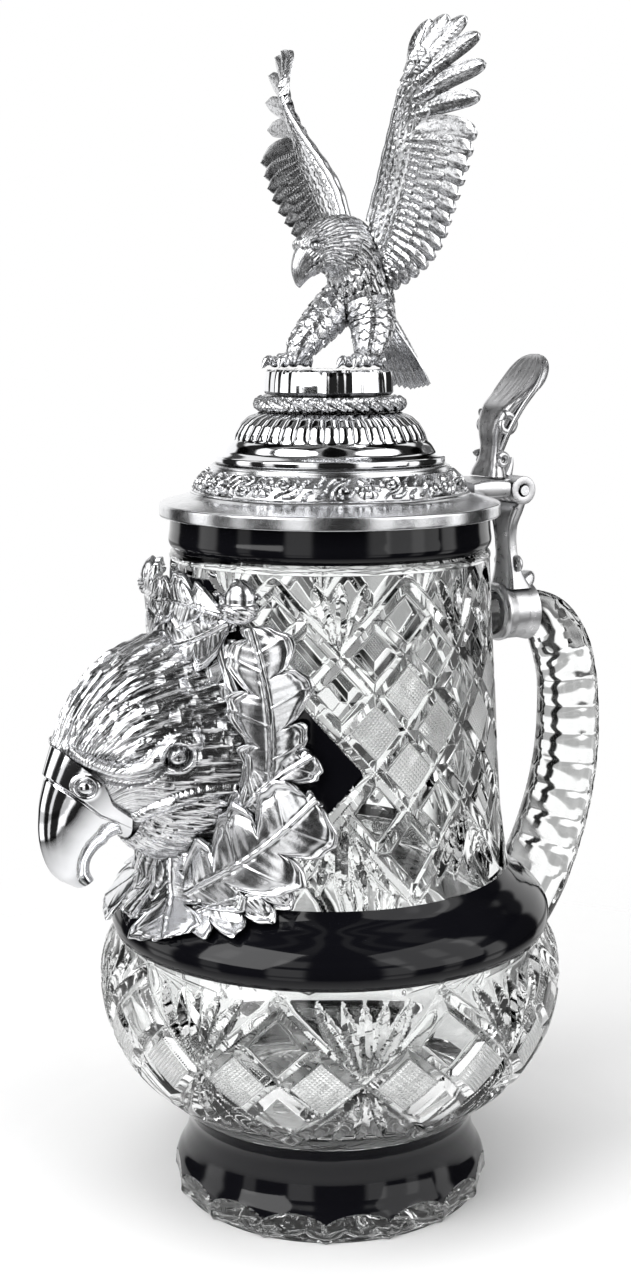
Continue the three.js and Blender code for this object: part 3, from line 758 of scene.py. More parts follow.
def rounded(points, radius):
    """A closed outline with its corners rounded."""
    p = np.array(points, float)
    out = []
    for before, corner, after in zip(np.roll(p, 1, axis=0), p, np.roll(p, -1, axis=0)):
        back, ahead = before - corner, after - corner
        reach_back = min(radius, np.linalg.norm(back) * 0.45)
        reach_ahead = min(radius, np.linalg.norm(ahead) * 0.45)
        start = corner + back / np.linalg.norm(back) * reach_back
        end = corner + ahead / np.linalg.norm(ahead) * reach_ahead
        for t in np.linspace(0, 1, CORNER_POINTS):
            out.append((1 - t) ** 2 * start + 2 * t * (1 - t) * corner + t**2 * end)
    return np.array(out)


def refined(loop, step):
    """A closed outline with points added so that none are further apart than a step."""
    out = []
    for start, end in zip(loop, np.roll(loop, -1, axis=0)):
        count = max(1, int(np.ceil(np.linalg.norm(end - start) / step)))
        out.extend(start + (end - start) * k / count for k in range(count))
    return np.array(out)


def turned_piece(name, loop, material, body, replaces, raise_by=None, columns=SMOOTH_COLUMNS):
    """A ring turned from a closed outline. Raise_by(theta, radius, z) gives each point's height."""
    along = np.roll(loop, -1, axis=0) - np.roll(loop, 1, axis=0)
    normal = np.stack([along[:, 1], -along[:, 0]], axis=1)
    normal /= np.maximum(np.linalg.norm(normal, axis=1), 1e-9)[:, None]
    theta = turns(columns)
    radius, z = loop[:, :1], loop[:, 1:]
    height = np.zeros((len(loop), columns)) if raise_by is None else raise_by(theta[None, :], radius, z)
    shell = Shell()
    shell.add_loop(about_axis(radius + height * normal[:, :1], theta, z + height * normal[:, 1:]))
    return shell.build(name, material, body, replaces, crease=35)


def ridge(x, y, path, widths, height):
    """Height of a rounded raised line along a flat path, at places x, y."""
    best = np.zeros(np.broadcast(x, y).shape)
    widths = np.broadcast_to(widths, len(path))
    for (px, py), width in zip(path, widths):
        square = ((x - px) ** 2 + (y - py) ** 2) / width**2
        best = np.maximum(best, height * np.sqrt(unit(1 - square)))
    return best


# ------------------------------------------------------------------ crystal handle

STUB_Z = 167                        # height of the level stub at the handle's top
# Middle line of the handle from its stub to the bulb: y, z, half thickness, half width.
HANDLE = [
    (46.8, STUB_Z, 5.9, 5.9), (54, STUB_Z, 6.0, 6.0), (62, STUB_Z, 6.0, 6.0), (69.5, 166.6, 6.6, 6.6),
    (75.2, 163.8, 7.4, 7.4), (80.2, 156.5, 8.4, 8.6), (83.4, 146, 8.6, 9), (84.4, 134, 9, 9.2),
    (84, 121, 9.4, 9.4), (81.8, 108, 9.8, 9.6), (77.8, 95, 10.2, 9.8), (71.8, 82, 10.6, 10),
    (63.6, 71, 11, 10.2), (57.6, 65.4, 11, 10.2),
]
HANDLE_STEPS, HANDLE_SIDES = 300, 72
HANDLE_POWER = 2.5                  # 2 for an oval section, more for a squarer one
NOTCH_PITCH = 8.6
NOTCH_DEPTH = 0.75
NOTCH_FIRST, NOTCH_LAST = 31.0, 24.0    # how far from the top and the bottom end they stop


def glass_radius(z):
    """Radius of the uncut glass from the bulb to the column's top."""
    outline = np.array(BULB_OUTLINE + SHOULDER_OUTLINE[1:] + COLUMN_OUTLINE[1:])
    return np.interp(z, outline[:, 1], outline[:, 0])


def off_glass(points, gap):
    """Points moved outwards from the axis wherever they are inside the glass."""
    radial = np.hypot(points[..., 0], points[..., 1])
    least = glass_radius(points[..., 2]) + gap
    moved = points.copy()
    moved[..., :2] *= np.where(radial < least, least / radial, 1)[..., None]
    return moved


def crystal_handle():
    sections = curve_through(HANDLE, HANDLE_STEPS)
    centre = np.stack([np.zeros(HANDLE_STEPS), sections[:, 0], sections[:, 1]], axis=1)
    along = np.gradient(centre, axis=0)
    along /= np.linalg.norm(along, axis=1)[:, None]
    outer = np.cross(along, [1, 0, 0])
    if outer[HANDLE_STEPS // 2, 1] < 0:
        outer = -outer
    travelled = np.concatenate([[0], np.cumsum(np.linalg.norm(np.diff(centre, axis=0), axis=1))])
    angle = turns(HANDLE_SIDES)
    c, d = np.cos(angle)[None, :], np.sin(angle)[None, :]
    swell = (np.abs(c) ** HANDLE_POWER + np.abs(d) ** HANDLE_POWER) ** (-1 / HANDLE_POWER)
    phase = (travelled[:, None] - NOTCH_FIRST) / NOTCH_PITCH
    near = (phase - np.round(phase)) * 2
    active = (travelled[:, None] > NOTCH_FIRST - 4) & (travelled[:, None] < travelled[-1] - NOTCH_LAST)
    cut = np.zeros((HANDLE_STEPS, HANDLE_SIDES))
    for middle in (math.radians(48), math.radians(-48)):
        turn = (angle[None, :] - middle + math.pi) % TURN - math.pi
        cut = np.maximum(cut, NOTCH_DEPTH * unit(1.2 - near**2 - (turn / 0.22) ** 2))
    cut = np.where(active, cut, 0)
    thick = sections[:, 2:3] * swell - cut
    wide = sections[:, 3:4] * swell - cut
    sideways = (wide * d)[..., None] * np.array([1.0, 0, 0])
    points = centre[:, None] + (thick * c)[..., None] * outer[:, None] + sideways
    shell = Shell()
    add_loft(shell, off_glass(points, 0.1))
    return shell.build("crystal_handle_glass", crystal, "stein", ("crystal_handle",), crease=24)


crystal_handle()

# ------------------------------------------------------------------ pewter lid

ROSETTES = 8
BAND_LOW = np.array([39.6, 205.9])
BAND_HIGH = np.array([33.4, 213.6])
BAND_LENGTH = float(np.linalg.norm(BAND_HIGH - BAND_LOW))
BAND_RADIUS = 37.0                  # where the pattern is laid out at its true size
BAND_TURN = 0.27                    # turn of the pattern, in rosettes
FLUTES = 40
FLUTES_LOW_Z, FLUTES_HIGH_Z = 220.5, 228.1
RING_LEAVES = 26
RING_LOW_Z, RING_HIGH_Z = 228.6, 232.6
RING_INSIDE = 19.4                  # no leaves nearer to the axis than this


def scroll_paths():
    """Leafy scrolls between two rosettes, on the right of the rosette; mirrored for the left."""
    curl = spiral(1.15, 2.1, 0.9, start=2.2) + [6.3, 0.9]
    tail = curve_through([(6.9, -2.9), (8.9, -2.7), (10.6, -1.1), (11.6, 1.5), (13.6, 2.9)], 40)
    sprig = curve_through([(4.4, -3.1), (5.6, -1.9), (8.2, -0.6), (9.6, 1.6), (9.4, 3.2)], 40)
    bud = curve_through([(12.0, -3.2), (13.0, -1.6), (14.5, -0.9)], 20)
    return (
        (curl, np.linspace(0.5, 0.85, CURL_POINTS)), (tail, np.linspace(0.8, 0.45, 40)),
        (sprig, np.linspace(0.35, 0.8, 40)), (bud, np.linspace(0.7, 0.5, 20)),
    )


def band_relief(theta, radius, z):
    """Rosettes and scrolls on the lid's sloping band, between two thin beads."""
    height = np.zeros((len(radius), theta.shape[1]))
    share = (z[:, 0] - BAND_LOW[1]) / (BAND_HIGH[1] - BAND_LOW[1])
    outside = radius[:, 0] > BAND_LOW[0] + (BAND_HIGH[0] - BAND_LOW[0]) * share - 2.2
    rows = np.where((share > 0.0) & (share < 1.0) & outside)[0]
    y = (share[rows, None] - 0.5) * BAND_LENGTH
    pitch = TURN / ROSETTES
    turn = (theta + pitch * BAND_TURN) % pitch
    x = np.where(turn > pitch / 2, turn - pitch, turn) * BAND_RADIUS
    reach, angle = np.hypot(x, y), np.arctan2(y, x)
    petal = 2.9 + 0.75 * np.abs(np.cos(3 * angle))
    vein = 0.25 * np.abs(np.sin(3 * angle)) ** 6
    lobed = 0.75 + 0.25 * np.abs(np.cos(3 * angle))
    flower = np.sqrt(unit(1 - (reach / petal) ** 4)) * lobed - vein
    boss = 1.25 * dome(reach / 1.05)
    relief = np.maximum(np.clip(flower, 0, 2) * (reach < petal), boss)
    relief = np.where((reach > 1.05) & (reach < 1.4), relief * 0.55, relief)
    for path, widths in scroll_paths():
        relief = np.maximum(relief, ridge(np.abs(x), y * np.sign(x), path, widths * 0.8, 1.0))
    edge = BAND_LENGTH / 2 - np.abs(y)
    bead = 0.55 * dome((edge - 0.55) / 0.5)
    relief = np.maximum(relief * unit(edge / 0.8), bead * np.ones_like(x))
    height[rows] = relief - 0.65 * unit(edge / 0.5)
    return height


def lid_flange():
    loop = rounded([
        (48.4, 199.4), (48.4, 203), (41.2, 204.9), (39.8, 205.6), (37.4, 209.9), (33.2, 213.9), (29.5, 213.9),
        (31.5, 211.5), (36, 208), (39, 203.5), (39, 199.4),
    ], 0.5)
    return turned_piece("lid_flange_cast", refined(loop, 0.28), spun, "lid", ("lid_flange",),
                        band_relief, COLUMNS)


def flute_relief(theta, radius, z):
    """Upright flutes cut into the outside of the dome."""
    lobe = np.abs(np.cos(theta * FLUTES / 2))
    run = unit((z - FLUTES_LOW_Z) / 1.3) * unit((FLUTES_HIGH_Z - z) / 1.2)
    outside = radius > np.interp(z, [219, 221, 225, 228.4], [27.6, 26.4, 23.4, 18.0])
    return np.where(outside, (lobe**0.45 * 1.0 - 1.0) * run, 0)


def lid_cap():
    loop = rounded([
        (32.6, 214.2), (32.6, 216), (30, 217.2), (28.8, 219.2), (28.2, 219.9), (27.5, 220.5), (26.9, 222.4),
        (25.3, 225), (23.2, 226.9), (20.4, 228.3), (2.3, 228.3), (2.3, 226.1), (19.6, 226.1), (23.2, 223.4),
        (26, 219.2), (28.8, 214.2),
    ], 0.45)
    return turned_piece("lid_cap_cast", refined(loop, 0.4), polished, "lid", ("lid_cap",),
                        flute_relief, COLUMNS)


def leaf_relief(theta, radius, z):
    """Overlapping slanted leaves wound round the ring."""
    share = (z - RING_LOW_Z) / 4.0
    turn = (theta * RING_LEAVES / TURN + 0.9 * share) % 1
    blade = np.sin(math.pi * turn) ** 0.6 * (1 - 0.35 * turn)
    vein = 0.3 * bell((turn - 0.5) / 0.07)
    fine = 0.12 * np.sin(theta * RING_LEAVES * 6 + share * 9)
    return np.where(radius > RING_INSIDE, 1.35 * blade - vein + fine * blade - 1.0, 0)


def lid_rings():
    loop = rounded([
        (2.3, RING_LOW_Z), (20.2, RING_LOW_Z), (21.4, 229.5), (21.6, 230.6), (21.2, 231.8),
        (20.0, RING_HIGH_Z), (2.3, RING_HIGH_Z),
    ], 0.5)
    turned_piece("leaf_ring_cast", refined(loop, 0.22), pewter, "lid", ("leaf_ring",), leaf_relief,
                 COLUMNS)
    liner = rounded([(38.7, 194), (38.7, 202.5), (36.7, 202.5), (36.7, 194)], 0.5)
    turned_piece("lid_liner_turned", liner, satin, "lid", ("lid_liner",))


PLINTH_CORNERS = [
    (19, -3), (18, 6), (14, 13), (6, 17.5), (-4, 18), (-12, 14.5), (-17.5, 7), (-19, -3), (-16, -11),
    (-9, -17), (1, -18.5), (10, -16), (16.5, -10),
]
PLINTH_LOW_Z, PLINTH_TOP_Z = 232.9, 240.0
# Rows of the block's sides: height above its foot, share of the outline, depth of the ripple.
PLINTH_SIDES = (
    (0, 0.90, 0), (0.15, 0.935, 0.2), (1.0, 0.975, 0.4), (2.6, 0.97, 0.6), (4.2, 0.965, 0.5),
    (5.6, 0.955, 0.6), (6.5, 0.945, 0.9),
)
# Rows of its top: share of the outline, drop below the highest level.
PLINTH_TOP = ((0.93, 0.0), (0.87, 0.25), (0.8, 0.0), (0.7, 0.2), (0.5, 0.05), (0.25, 0.0), (0.02, 0.0))


def plinth():
    """A block like split rock: smooth broken sides and a chipped upper edge."""
    corners = np.array(PLINTH_CORNERS + PLINTH_CORNERS[:1], float)
    shares = (np.arange(26) / 26)[:, None]
    outline = np.concatenate([start + (end - start) * shares for start, end in zip(corners, corners[1:])])
    count = len(outline)
    t = turns(count)
    wave = 0.35 * np.sin(7 * t + 1) + 0.25 * np.sin(17 * t) + 0.15 * np.sin(41 * t + 2)
    chip = np.abs(np.sin(5 * t + 0.7)) ** 3 * 0.05 + np.abs(np.sin(13 * t)) ** 6 * 0.03
    rings = []
    for z, share, ripple in PLINTH_SIDES:
        out = outline * (share + ripple * wave[:, None] / 40)
        rings.append(np.column_stack([out, np.full(count, PLINTH_LOW_Z + z) + (z > 0) * 0.12 * wave]))
    for inward, drop in PLINTH_TOP:
        out = outline * (inward - chip[:, None])
        rings.append(np.column_stack([out, PLINTH_TOP_Z - drop - 0.25 * (inward > 0.6) * np.abs(wave)]))
    shell = Shell()
    add_loft(shell, rings)
    return shell.build("plinth_rock", polished, "lid", ("finial_plinth",), crease=22)


lid_flange()
lid_cap()
lid_rings()
plinth()

# ------------------------------------------------------------------ hinge, strap and thumb lift

HINGE_Y, HINGE_Z = 60.5, 204.2
KNUCKLE_RADIUS, KNUCKLE_BORE, KNUCKLE_LENGTH, KNUCKLE_PITCH = 4.2, 1.8, 3.2, 3.5
HINGE_HALF_WIDTH = 2.5 * KNUCKLE_PITCH


def add_knuckle(shell, x):
    """A hinge barrel with rounded ends and a bore for the pin."""
    half = KNUCKLE_LENGTH / 2
    loop = rounded([
        (KNUCKLE_BORE, -half), (KNUCKLE_RADIUS, -half), (KNUCKLE_RADIUS, half), (KNUCKLE_BORE, half),
    ], 0.35)
    radius, t = loop[:, :1], turns(48)
    points = np.stack(np.broadcast_arrays(
        x + loop[:, 1:], HINGE_Y + radius * np.cos(t), HINGE_Z + radius * np.sin(t)), axis=2)
    shell.add_loop(points)


def add_bar(shell, rows, power=5.0):
    """A bar through rows of centre y, centre z, half thickness along Y, half width along X."""
    rings = [
        squarish((0, y, z), (half_width, 0, 0), (0, half_thickness, 0), power)
        for y, z, half_thickness, half_width in curve_through(rows, 40)
    ]
    add_loft(shell, rings)


def handle_strap():
    shell = Shell()
    for step in (-2, 0, 2):
        add_knuckle(shell, step * KNUCKLE_PITCH)
    add_bar(shell, [
        (60.4, 200.2, 1.6, 8.2), (60.3, 198.2, 2.0, 6.9), (60.1, 193, 1.7, 4.3), (60.3, 186, 1.8, 3.9),
        (61.1, 179, 2.6, 5), (62.1, 174.4, 4.4, 6.2),
    ])
    for side in (-1, 1):
        curl = spiral(1.3, 2.2, 1.0, start=0.5)
        path = np.column_stack([side * (4.6 + curl[:, 0]), np.full(CURL_POINTS, 61.2), 181.5 + curl[:, 1]])
        add_tube(shell, path, np.linspace(0.5, 1.0, CURL_POINTS))
        rail = curve_through([(3.4, 59.4, 184), (3.4, 58.9, 190), (4.6, 58.8, 195), (6.8, 58.8, 199)], 24)
        add_tube(shell, rail * [side, 1, 1], np.linspace(0.5, 0.9, 24))
    add_bar(shell, [
        (68.2, 178.8, 0.9, 2.0), (67.4, 177.8, 2.4, 3.0), (66.0, 176.0, 3.7, 3.8), (63.5, 174.2, 4.6, 5.2),
    ], 2.4)
    cuff = rounded([(6.6, 55.5), (8.2, 55.5), (8.9, 57), (8.3, 60), (8.3, 64), (9.2, 67.6), (6.6, 67.6)], 0.5)
    t = turns(96)
    points = np.stack(np.broadcast_arrays(
        cuff[:, :1] * np.sin(t), cuff[:, 1:], STUB_Z + cuff[:, :1] * np.cos(t)), axis=2)
    shell.add_loop(points)
    return shell.build("strap_cast", satin, "stein", ("handle_strap",), crease=40)


def lid_tang():
    shell = Shell()
    for step in (-1, 1):
        add_knuckle(shell, step * KNUCKLE_PITCH)
    half = HINGE_HALF_WIDTH - 0.15
    rows = [(43.2, 205.0, 2.0), (46, 205.0, 2.6), (49, 204.9, 3.0), (52, 204.9, 3.0), (54.6, 204.8, 2.8),
            (55.7, 204.8, 2.4)]
    add_loft(shell, [squarish((0, y, z), (half, 0, 0), (0, 0, high), 6.0) for y, z, high in rows])
    for step in (-1, 1):
        x = step * KNUCKLE_PITCH
        add_loft(shell, [
            squarish((x, y, z), (KNUCKLE_LENGTH / 2, 0, 0), (0, 0, high), 6.0)
            for y, z, high in ((54.5, 204.8, 2.4), (56.5, 205.2, 2.4), (58.6, 205.8, 2.0))
        ])
    ear = curve_through([(0, 59.6, 208.1), (0, 60.4, 209.6), (0, 61.2, 211.4), (0, 61.6, 213.4)], 20)
    add_tube(shell, ear, np.linspace(2.0, 0.5, 20))
    return shell.build("tang_cast", satin, "lid", ("lid_tang",), crease=40)


# Sections of the thumb piece: y, z, half depth, half width.
THUMB_LIFT = [
    (53, 208.3, 4.6, 7.2), (53.2, 210.2, 4.0, 6.6), (53.8, 213, 3.0, 5.2), (54.3, 217, 2.8, 4.8),
    (54.6, 221, 3.8, 5.6), (55.6, 225, 4.6, 6.8), (57.6, 228.6, 4.8, 7.8), (61.8, 232.5, 4.8, 8.8),
    (65.4, 236.6, 4.2, 9.4), (67.6, 240.4, 3.0, 8.2), (68.8, 243, 1.9, 5.4), (69.2, 244, 0.8, 2.0),
]
# The scrolls on its sides: turns, radius, start angle, x, y, z, thinnest and thickest radius.
THUMB_CURLS = ((1.5, 3.0, -1.2, 5.2, 55.6, 223.6, 0.7, 1.5), (1.3, 2.0, 0.6, 5.4, 54.4, 213.0, 0.5, 1.1))
THUMB_RIB = [(5.0, 54.6, 216), (6.6, 56.4, 222), (8.0, 60.0, 229), (9.0, 65.0, 236), (6.4, 68.6, 241.6)]


def thumb_lift():
    """A thumb piece with a fluted shell on top and a scroll on each side."""
    sections = curve_through(THUMB_LIFT, 90)
    t = turns(72)
    rings = []
    for y, z, half_depth, half_width in sections:
        shell_share = unit((z - 229) / 5) * unit((244 - z) / 2)
        flute = 1 + 0.07 * shell_share * np.cos(14 * t)
        hollow = 1 - 0.45 * unit(-np.sin(t)) ** 2
        rings.append(np.column_stack([
            half_width * np.cos(t) * flute, y + half_depth * np.sin(t) * hollow * flute, np.full(72, z),
        ]))
    shell = Shell()
    add_loft(shell, rings)
    for side in (-1, 1):
        for rounds, radius, start, x, y, z, thin, thick in THUMB_CURLS:
            curl = spiral(rounds, radius, 0.9, start)
            out = side * (x + 0.02 * np.arange(CURL_POINTS))
            path = np.column_stack([out, y + curl[:, 0], z + curl[:, 1]])
            add_tube(shell, path, np.linspace(thin, thick, CURL_POINTS))
        add_tube(shell, curve_through(THUMB_RIB, 40) * [side, 1, 1], np.linspace(0.8, 0.9, 40))
    return shell.build("thumb_lift_cast", satin, "lid", ("thumb_lift",), crease=50)


handle_strap()
lid_tang()
thumb_lift()

for node, finish in (("hinge_pin", polished), ("finial_washer", satin), ("finial_screw", satin)):
    kept = bpy.data.objects[node]
    kept.data.materials.clear()
    kept.data.materials.append(finish)

# ------------------------------------------------------------------ the badge: an eagle's head


def displaced(points, height):
    """A closed tube of points, each moved along the outward normal."""
    along = np.gradient(points, axis=0)
    around = np.roll(points, -1, axis=1) - np.roll(points, 1, axis=1)
    normal = np.cross(around, along)
    length = np.linalg.norm(normal, axis=2)[..., None]
    normal /= np.maximum(length, 1e-9)
    centre = points.mean(axis=1)[:, None]
    if np.sum(normal * (points - centre)) < 0:
        normal = -normal
    return points + np.asarray(height)[..., None] * normal


def hashed(number):
    """A fixed scatter of values between 0 and 1."""
    return (np.sin(number * 12.9898) * 43758.5453) % 1


def plumes(lengthways, across, height, bend=0.8):
    """Long overlapping pointed feathers. Lengthways falls towards the feather tips."""
    wave = np.sin(lengthways * 1.7 + 0.21 * across) + 0.5 * np.sin(lengthways * 3.1 + 0.47 * across)
    lane = across + bend * wave
    number = np.floor(lane)
    chance = hashed(number)
    strand = np.sin(math.pi * (lane - number)) ** 0.8
    run = (lengthways * (0.8 + 0.5 * chance) + 7 * chance) % 1
    return height * strand * (0.25 + 0.75 * (1 - run) * unit(run / 0.12))


def scales(lengthways, across, height):
    """Short overlapping rounded feathers in staggered rows. Lengthways rises towards their tips."""
    row = np.floor(lengthways)
    y = lengthways - row
    lane = across + 0.5 * (row % 2)
    x = lane - np.floor(lane) - 0.5
    tip = 0.5 + 0.45 * (1 - (2 * x) ** 2)
    raised = np.where(y < tip, 0.3 + 0.7 * y / tip, 0.22 * unit((y - tip) / 0.3))
    shaft = 0.18 * bell(x / 0.07) * (y < tip)
    barbs = 0.08 * np.cos(50 * y + 30 * np.abs(x))
    return height * (raised + shaft + barbs * (y < tip))


# Head sections from the glass to the beak's tip: upper and lower point as distance in front of the
# axis and height, then the half width.
HEAD = [
    (40, 170, 40, 104, 29), (48, 169, 48, 105, 25.5), (57, 167, 57, 107, 22.5), (66, 163.5, 62, 110, 20),
    (74, 157, 65, 113, 16.5), (80, 148.5, 67.4, 114.2, 13), (83.2, 141, 69.6, 113.4, 11),
    (86.3, 132, 70.4, 112.2, 9.4), (88.4, 123, 72.6, 110.8, 7.8), (88.2, 113, 74.6, 108.0, 6),
    (84.8, 105, 74.8, 105.0, 4), (78.0, 100.4, 73.6, 102.2, 1.6),
]
HEAD_SIDES = 400
BADGE_GAP = 0.7
EYE = (57.4, 139.6)
NOSTRIL = (78.8, 131.1)
BROW = curve_through([
    (82, 140.6), (76, 137.5), (69.6, 136), (65, 137), (61, 140.6), (57.6, 143.2), (53.5, 144),
], 60)
GAPE = curve_through([(68, 119.8), (63.4, 124), (56, 127.8), (50, 129.2), (44, 130)], 50)
CERE_BACK = np.array([(64, 120), (67.5, 122.5), (72, 125.9), (74.7, 132.3), (83.2, 140.1), (92, 148)])
CERE_FRONT = np.array([(62, 116), (66.8, 118.7), (74.8, 122.8), (79.3, 126.9), (85.5, 131.5), (92, 137)])


def section_tube(rows, count, sides, forward):
    """Points of a run of sections of upper point, lower point and half width, with the angle round
    each. Forward is the sign of y where the sections' first coordinate grows."""
    sections = curve_through(rows, count)
    angle = turns(sides)
    top, low = sections[:, 0:2], sections[:, 2:4]
    middle, half = (top + low) / 2, (top - low) / 2
    plane = middle[:, None] + half[:, None] * np.cos(angle)[None, :, None]
    side = sections[:, 4:5] * np.sin(angle)[None, :]
    return np.stack([side, forward * plane[..., 0], plane[..., 1]], axis=2), angle


def badge_head():
    points, angle = section_tube(HEAD[:8], 330, HEAD_SIDES, -1)
    out, z = -points[..., 1], points[..., 2]
    length = np.linspace(0, 1, len(points))[:, None] + 0 * angle[None, :]
    across = 0 * length + angle[None, :] / TURN * 76
    coarse = plumes(length * 2.4, across * 0.62, 1.7, 1.1)
    fine = plumes(length * 4.0 + 3, across * 1.9, 0.5)
    feather = coarse * (0.4 + 0.6 * unit((z - 143) / 8)) + fine
    eye_distance = np.hypot(out - EYE[0], z - EYE[1])
    lore = unit((out - 58) / 5) * soft_step(138.5 - z, 4) * soft_step(z - 121, 3)
    quiet = unit((eye_distance - 3.6) / 2.5) * (1 - 0.92 * lore)
    height = feather * quiet - 0.35 * (1 - quiet)
    sideways = unit((np.abs(points[..., 0]) - 6) / 4)
    height += ridge(out, z, BROW, np.linspace(1.6, 3.0, 60), 3.4) * sideways
    height -= ridge(out, z + 3.4, BROW, 1.5, 1.2) * sideways * (out > 60)
    height += ridge(out, z, GAPE, 1.9, 1.3)
    below = np.interp(out, GAPE[::-1, 0], GAPE[::-1, 1]) - z
    height -= 0.9 * unit(below / 3) * unit((9 - below) / 6) * (out < 67)
    height += 2.0 * dome(eye_distance / 2.3)
    height -= 0.7 * bell(eye_distance / 0.55)
    height -= 0.9 * bell((eye_distance - 2.9) / 0.45)
    height += 0.6 * bell((eye_distance - 4.0) / 0.6)
    front = np.interp(out, CERE_BACK[:, 0], CERE_BACK[:, 1]) - z
    ahead = soft_step(front - 0.3, 0.8) * (out > 65)
    height = height * (1 - ahead) - 1.8 * ahead
    shell = Shell()
    marks = np.stack([length * 5, across * 2.6, 0 * length + 1], axis=2)
    add_loft(shell, off_glass(displaced(points, height), BADGE_GAP), marks)
    return shell.build("badge_head_cast", feathered, "stein", ("badge_eagle_head",),
                       crease=60)


def badge_beak():
    points, angle = section_tube(HEAD[4:], 220, HEAD_SIDES, -1)
    out, z = -points[..., 1], points[..., 2]
    behind = z - np.interp(out, CERE_BACK[:, 0], CERE_BACK[:, 1])
    on_cere = z - np.interp(out, CERE_FRONT[:, 0], CERE_FRONT[:, 1])
    nostril = np.hypot(out - NOSTRIL[0], z - NOSTRIL[1])
    culmen = bell(np.minimum(angle, TURN - angle) / 0.22)[None, :]
    height = 0.75 * soft_step(on_cere - 0.4, 0.8) + 0.25 * culmen
    height -= 0.5 * bell(on_cere / 0.35)
    height += 0.9 * dome(nostril / 1.7)
    height -= 0.6 * bell((nostril - 2.1) / 0.35)
    height += 0.3 * bell((nostril - 2.9) / 0.5)
    height = np.where(behind > 0.2, -2.4, height)
    shell = Shell()
    add_loft(shell, displaced(points, height))
    return shell.build("badge_beak_polished", polished, "stein", ("badge_eagle_head",),
                       crease=50)


# ------------------------------------------------------------------ the badge: oak leaves

ARC_RADIUS = 48.3


def over_glass(arc, z, height):
    """Points over the glass, at a distance round it, a height, and a height above its surface."""
    return about_axis(glass_radius(z) + height, np.asarray(arc) / ARC_RADIUS, z)


# Leaves of the right branch: stalk arc and height, tip arc and height, half width, sideways bend,
# lobes on each side, and how far the leaf stands off the glass.
LEAVES = [
    (27, 120, 48, 141, 8.5, 2.0, 3, 0.3), (20, 150, 18, 182, 9.5, 1.0, 3, 0.2),
    (37.5, 133, 32, 174, 11.5, -2.5, 3, 1.6), (26, 175, -9, 165, 10.5, 3.0, 3, 2.6),
    (24, 177, -2, 178, 7.5, -1.5, 3, 3.4), (20, 173, 33, 183, 5.5, 1.0, 2, 2.0),
    (17, 95, 43, 106, 8.5, 1.5, 4, 1.2), (6, 112, 16, 90, 10.5, -1.5, 3, 1.0),
    (-3, 112, 3, 91, 8.0, 1.0, 3, 0.6), (15, 100, 49, 130, 13.5, -2.0, 3, 2.4),
]
STEM = [
    (3, 101), (12, 103), (21, 108), (27, 116), (30, 126), (32, 138), (30, 149), (25, 159), (22, 170),
    (27, 178),
]
LEAF_ROWS, LEAF_COLUMNS = 150, 70
LEAF_LOW_Z, LEAF_HIGH_Z = 84.5, 187.0
ACORN_PROFILE = [
    (0.05, -1.0), (0.55, -0.95), (0.82, -0.75), (0.98, -0.4), (1.02, -0.1), (0.95, 0.02), (0.86, 0.06),
    (0.84, 0.4), (0.72, 0.8), (0.5, 1.1), (0.22, 1.28), (0.04, 1.4),
]


def oak_leaf(shell, leaf, side, seed):
    stalk_arc, stalk_z, tip_arc, tip_z, half_width, bend, lobes, lift = leaf
    u = np.linspace(0, 1, LEAF_ROWS)[:, None]
    v = np.linspace(-1, 1, LEAF_COLUMNS)[None, :]
    way = np.array([tip_arc - stalk_arc, tip_z - stalk_z], float)
    way /= np.linalg.norm(way)
    square = np.array([-way[1], way[0]])
    bow = bend * np.sin(math.pi * u)
    arc = stalk_arc + (tip_arc - stalk_arc) * u + square[0] * bow
    z = stalk_z + (tip_z - stalk_z) * u + square[1] * bow
    uneven = 0.16 * np.sign(v) * np.sin(seed * 2 + 1)
    lobe_turn = lobes * u**0.9 + 0.12 + uneven
    swell = np.abs(np.sin(math.pi * lobe_turn)) ** 0.5
    body = np.sin(math.pi * unit(0.09 + 0.79 * u**0.85)) ** 0.6
    width = half_width * body * (0.36 + 0.64 * swell) * unit(1 - u**9) ** 0.5 + 0.3
    ragged = 1 + 0.035 * np.sin(37 * u + seed) + 0.02 * np.sin(61 * u + 2 * seed)
    reach = v * width * ragged
    sweep = 0.5 * np.abs(reach)
    arc = arc + square[0] * reach + way[0] * sweep
    z = np.clip(z + square[1] * reach + way[1] * sweep, LEAF_LOW_Z, LEAF_HIGH_Z)
    edge = np.abs(v)
    middle = np.abs(reach)
    midrib = 0.3 * bell(middle / 0.3) - 0.12 * bell((middle - 0.75) / 0.35)
    vein_turn = np.abs((lobe_turn % 1) - 0.5)
    veins = 0.14 * bell(vein_turn / 0.03)
    small = 0.03 * np.sin(math.pi * 10 * lobe_turn + 5 * edge)
    crinkle = 0.3 * np.sin(5 * u + 2 * v + seed) * np.sin(3 * v + 4 * u + 2 * seed)
    rim = 0.45 * bell((edge - 0.93) / 0.07) - 0.3 * bell((edge - 0.78) / 0.1)
    curl = 0.7 * edge**3 * np.sin(7 * u + seed * 1.3 + v)
    cup = 1.0 * (1 - edge**2) + 1.2 * np.sin(math.pi * u) + 0.8 * u**4
    top = BADGE_GAP + 1.0 + lift + cup + midrib + (veins + small) * (1 - edge**6) + crinkle + curl + rim
    under = np.maximum(top - 1.0 - 0.6 * (1 - edge), BADGE_GAP + 0 * top)
    top = np.maximum(top, under + 0.35)
    faces = [over_glass(arc * side, z, top), over_glass(arc * side, z, under)[:, ::-1]]
    add_loft(shell, np.concatenate(faces, axis=1))


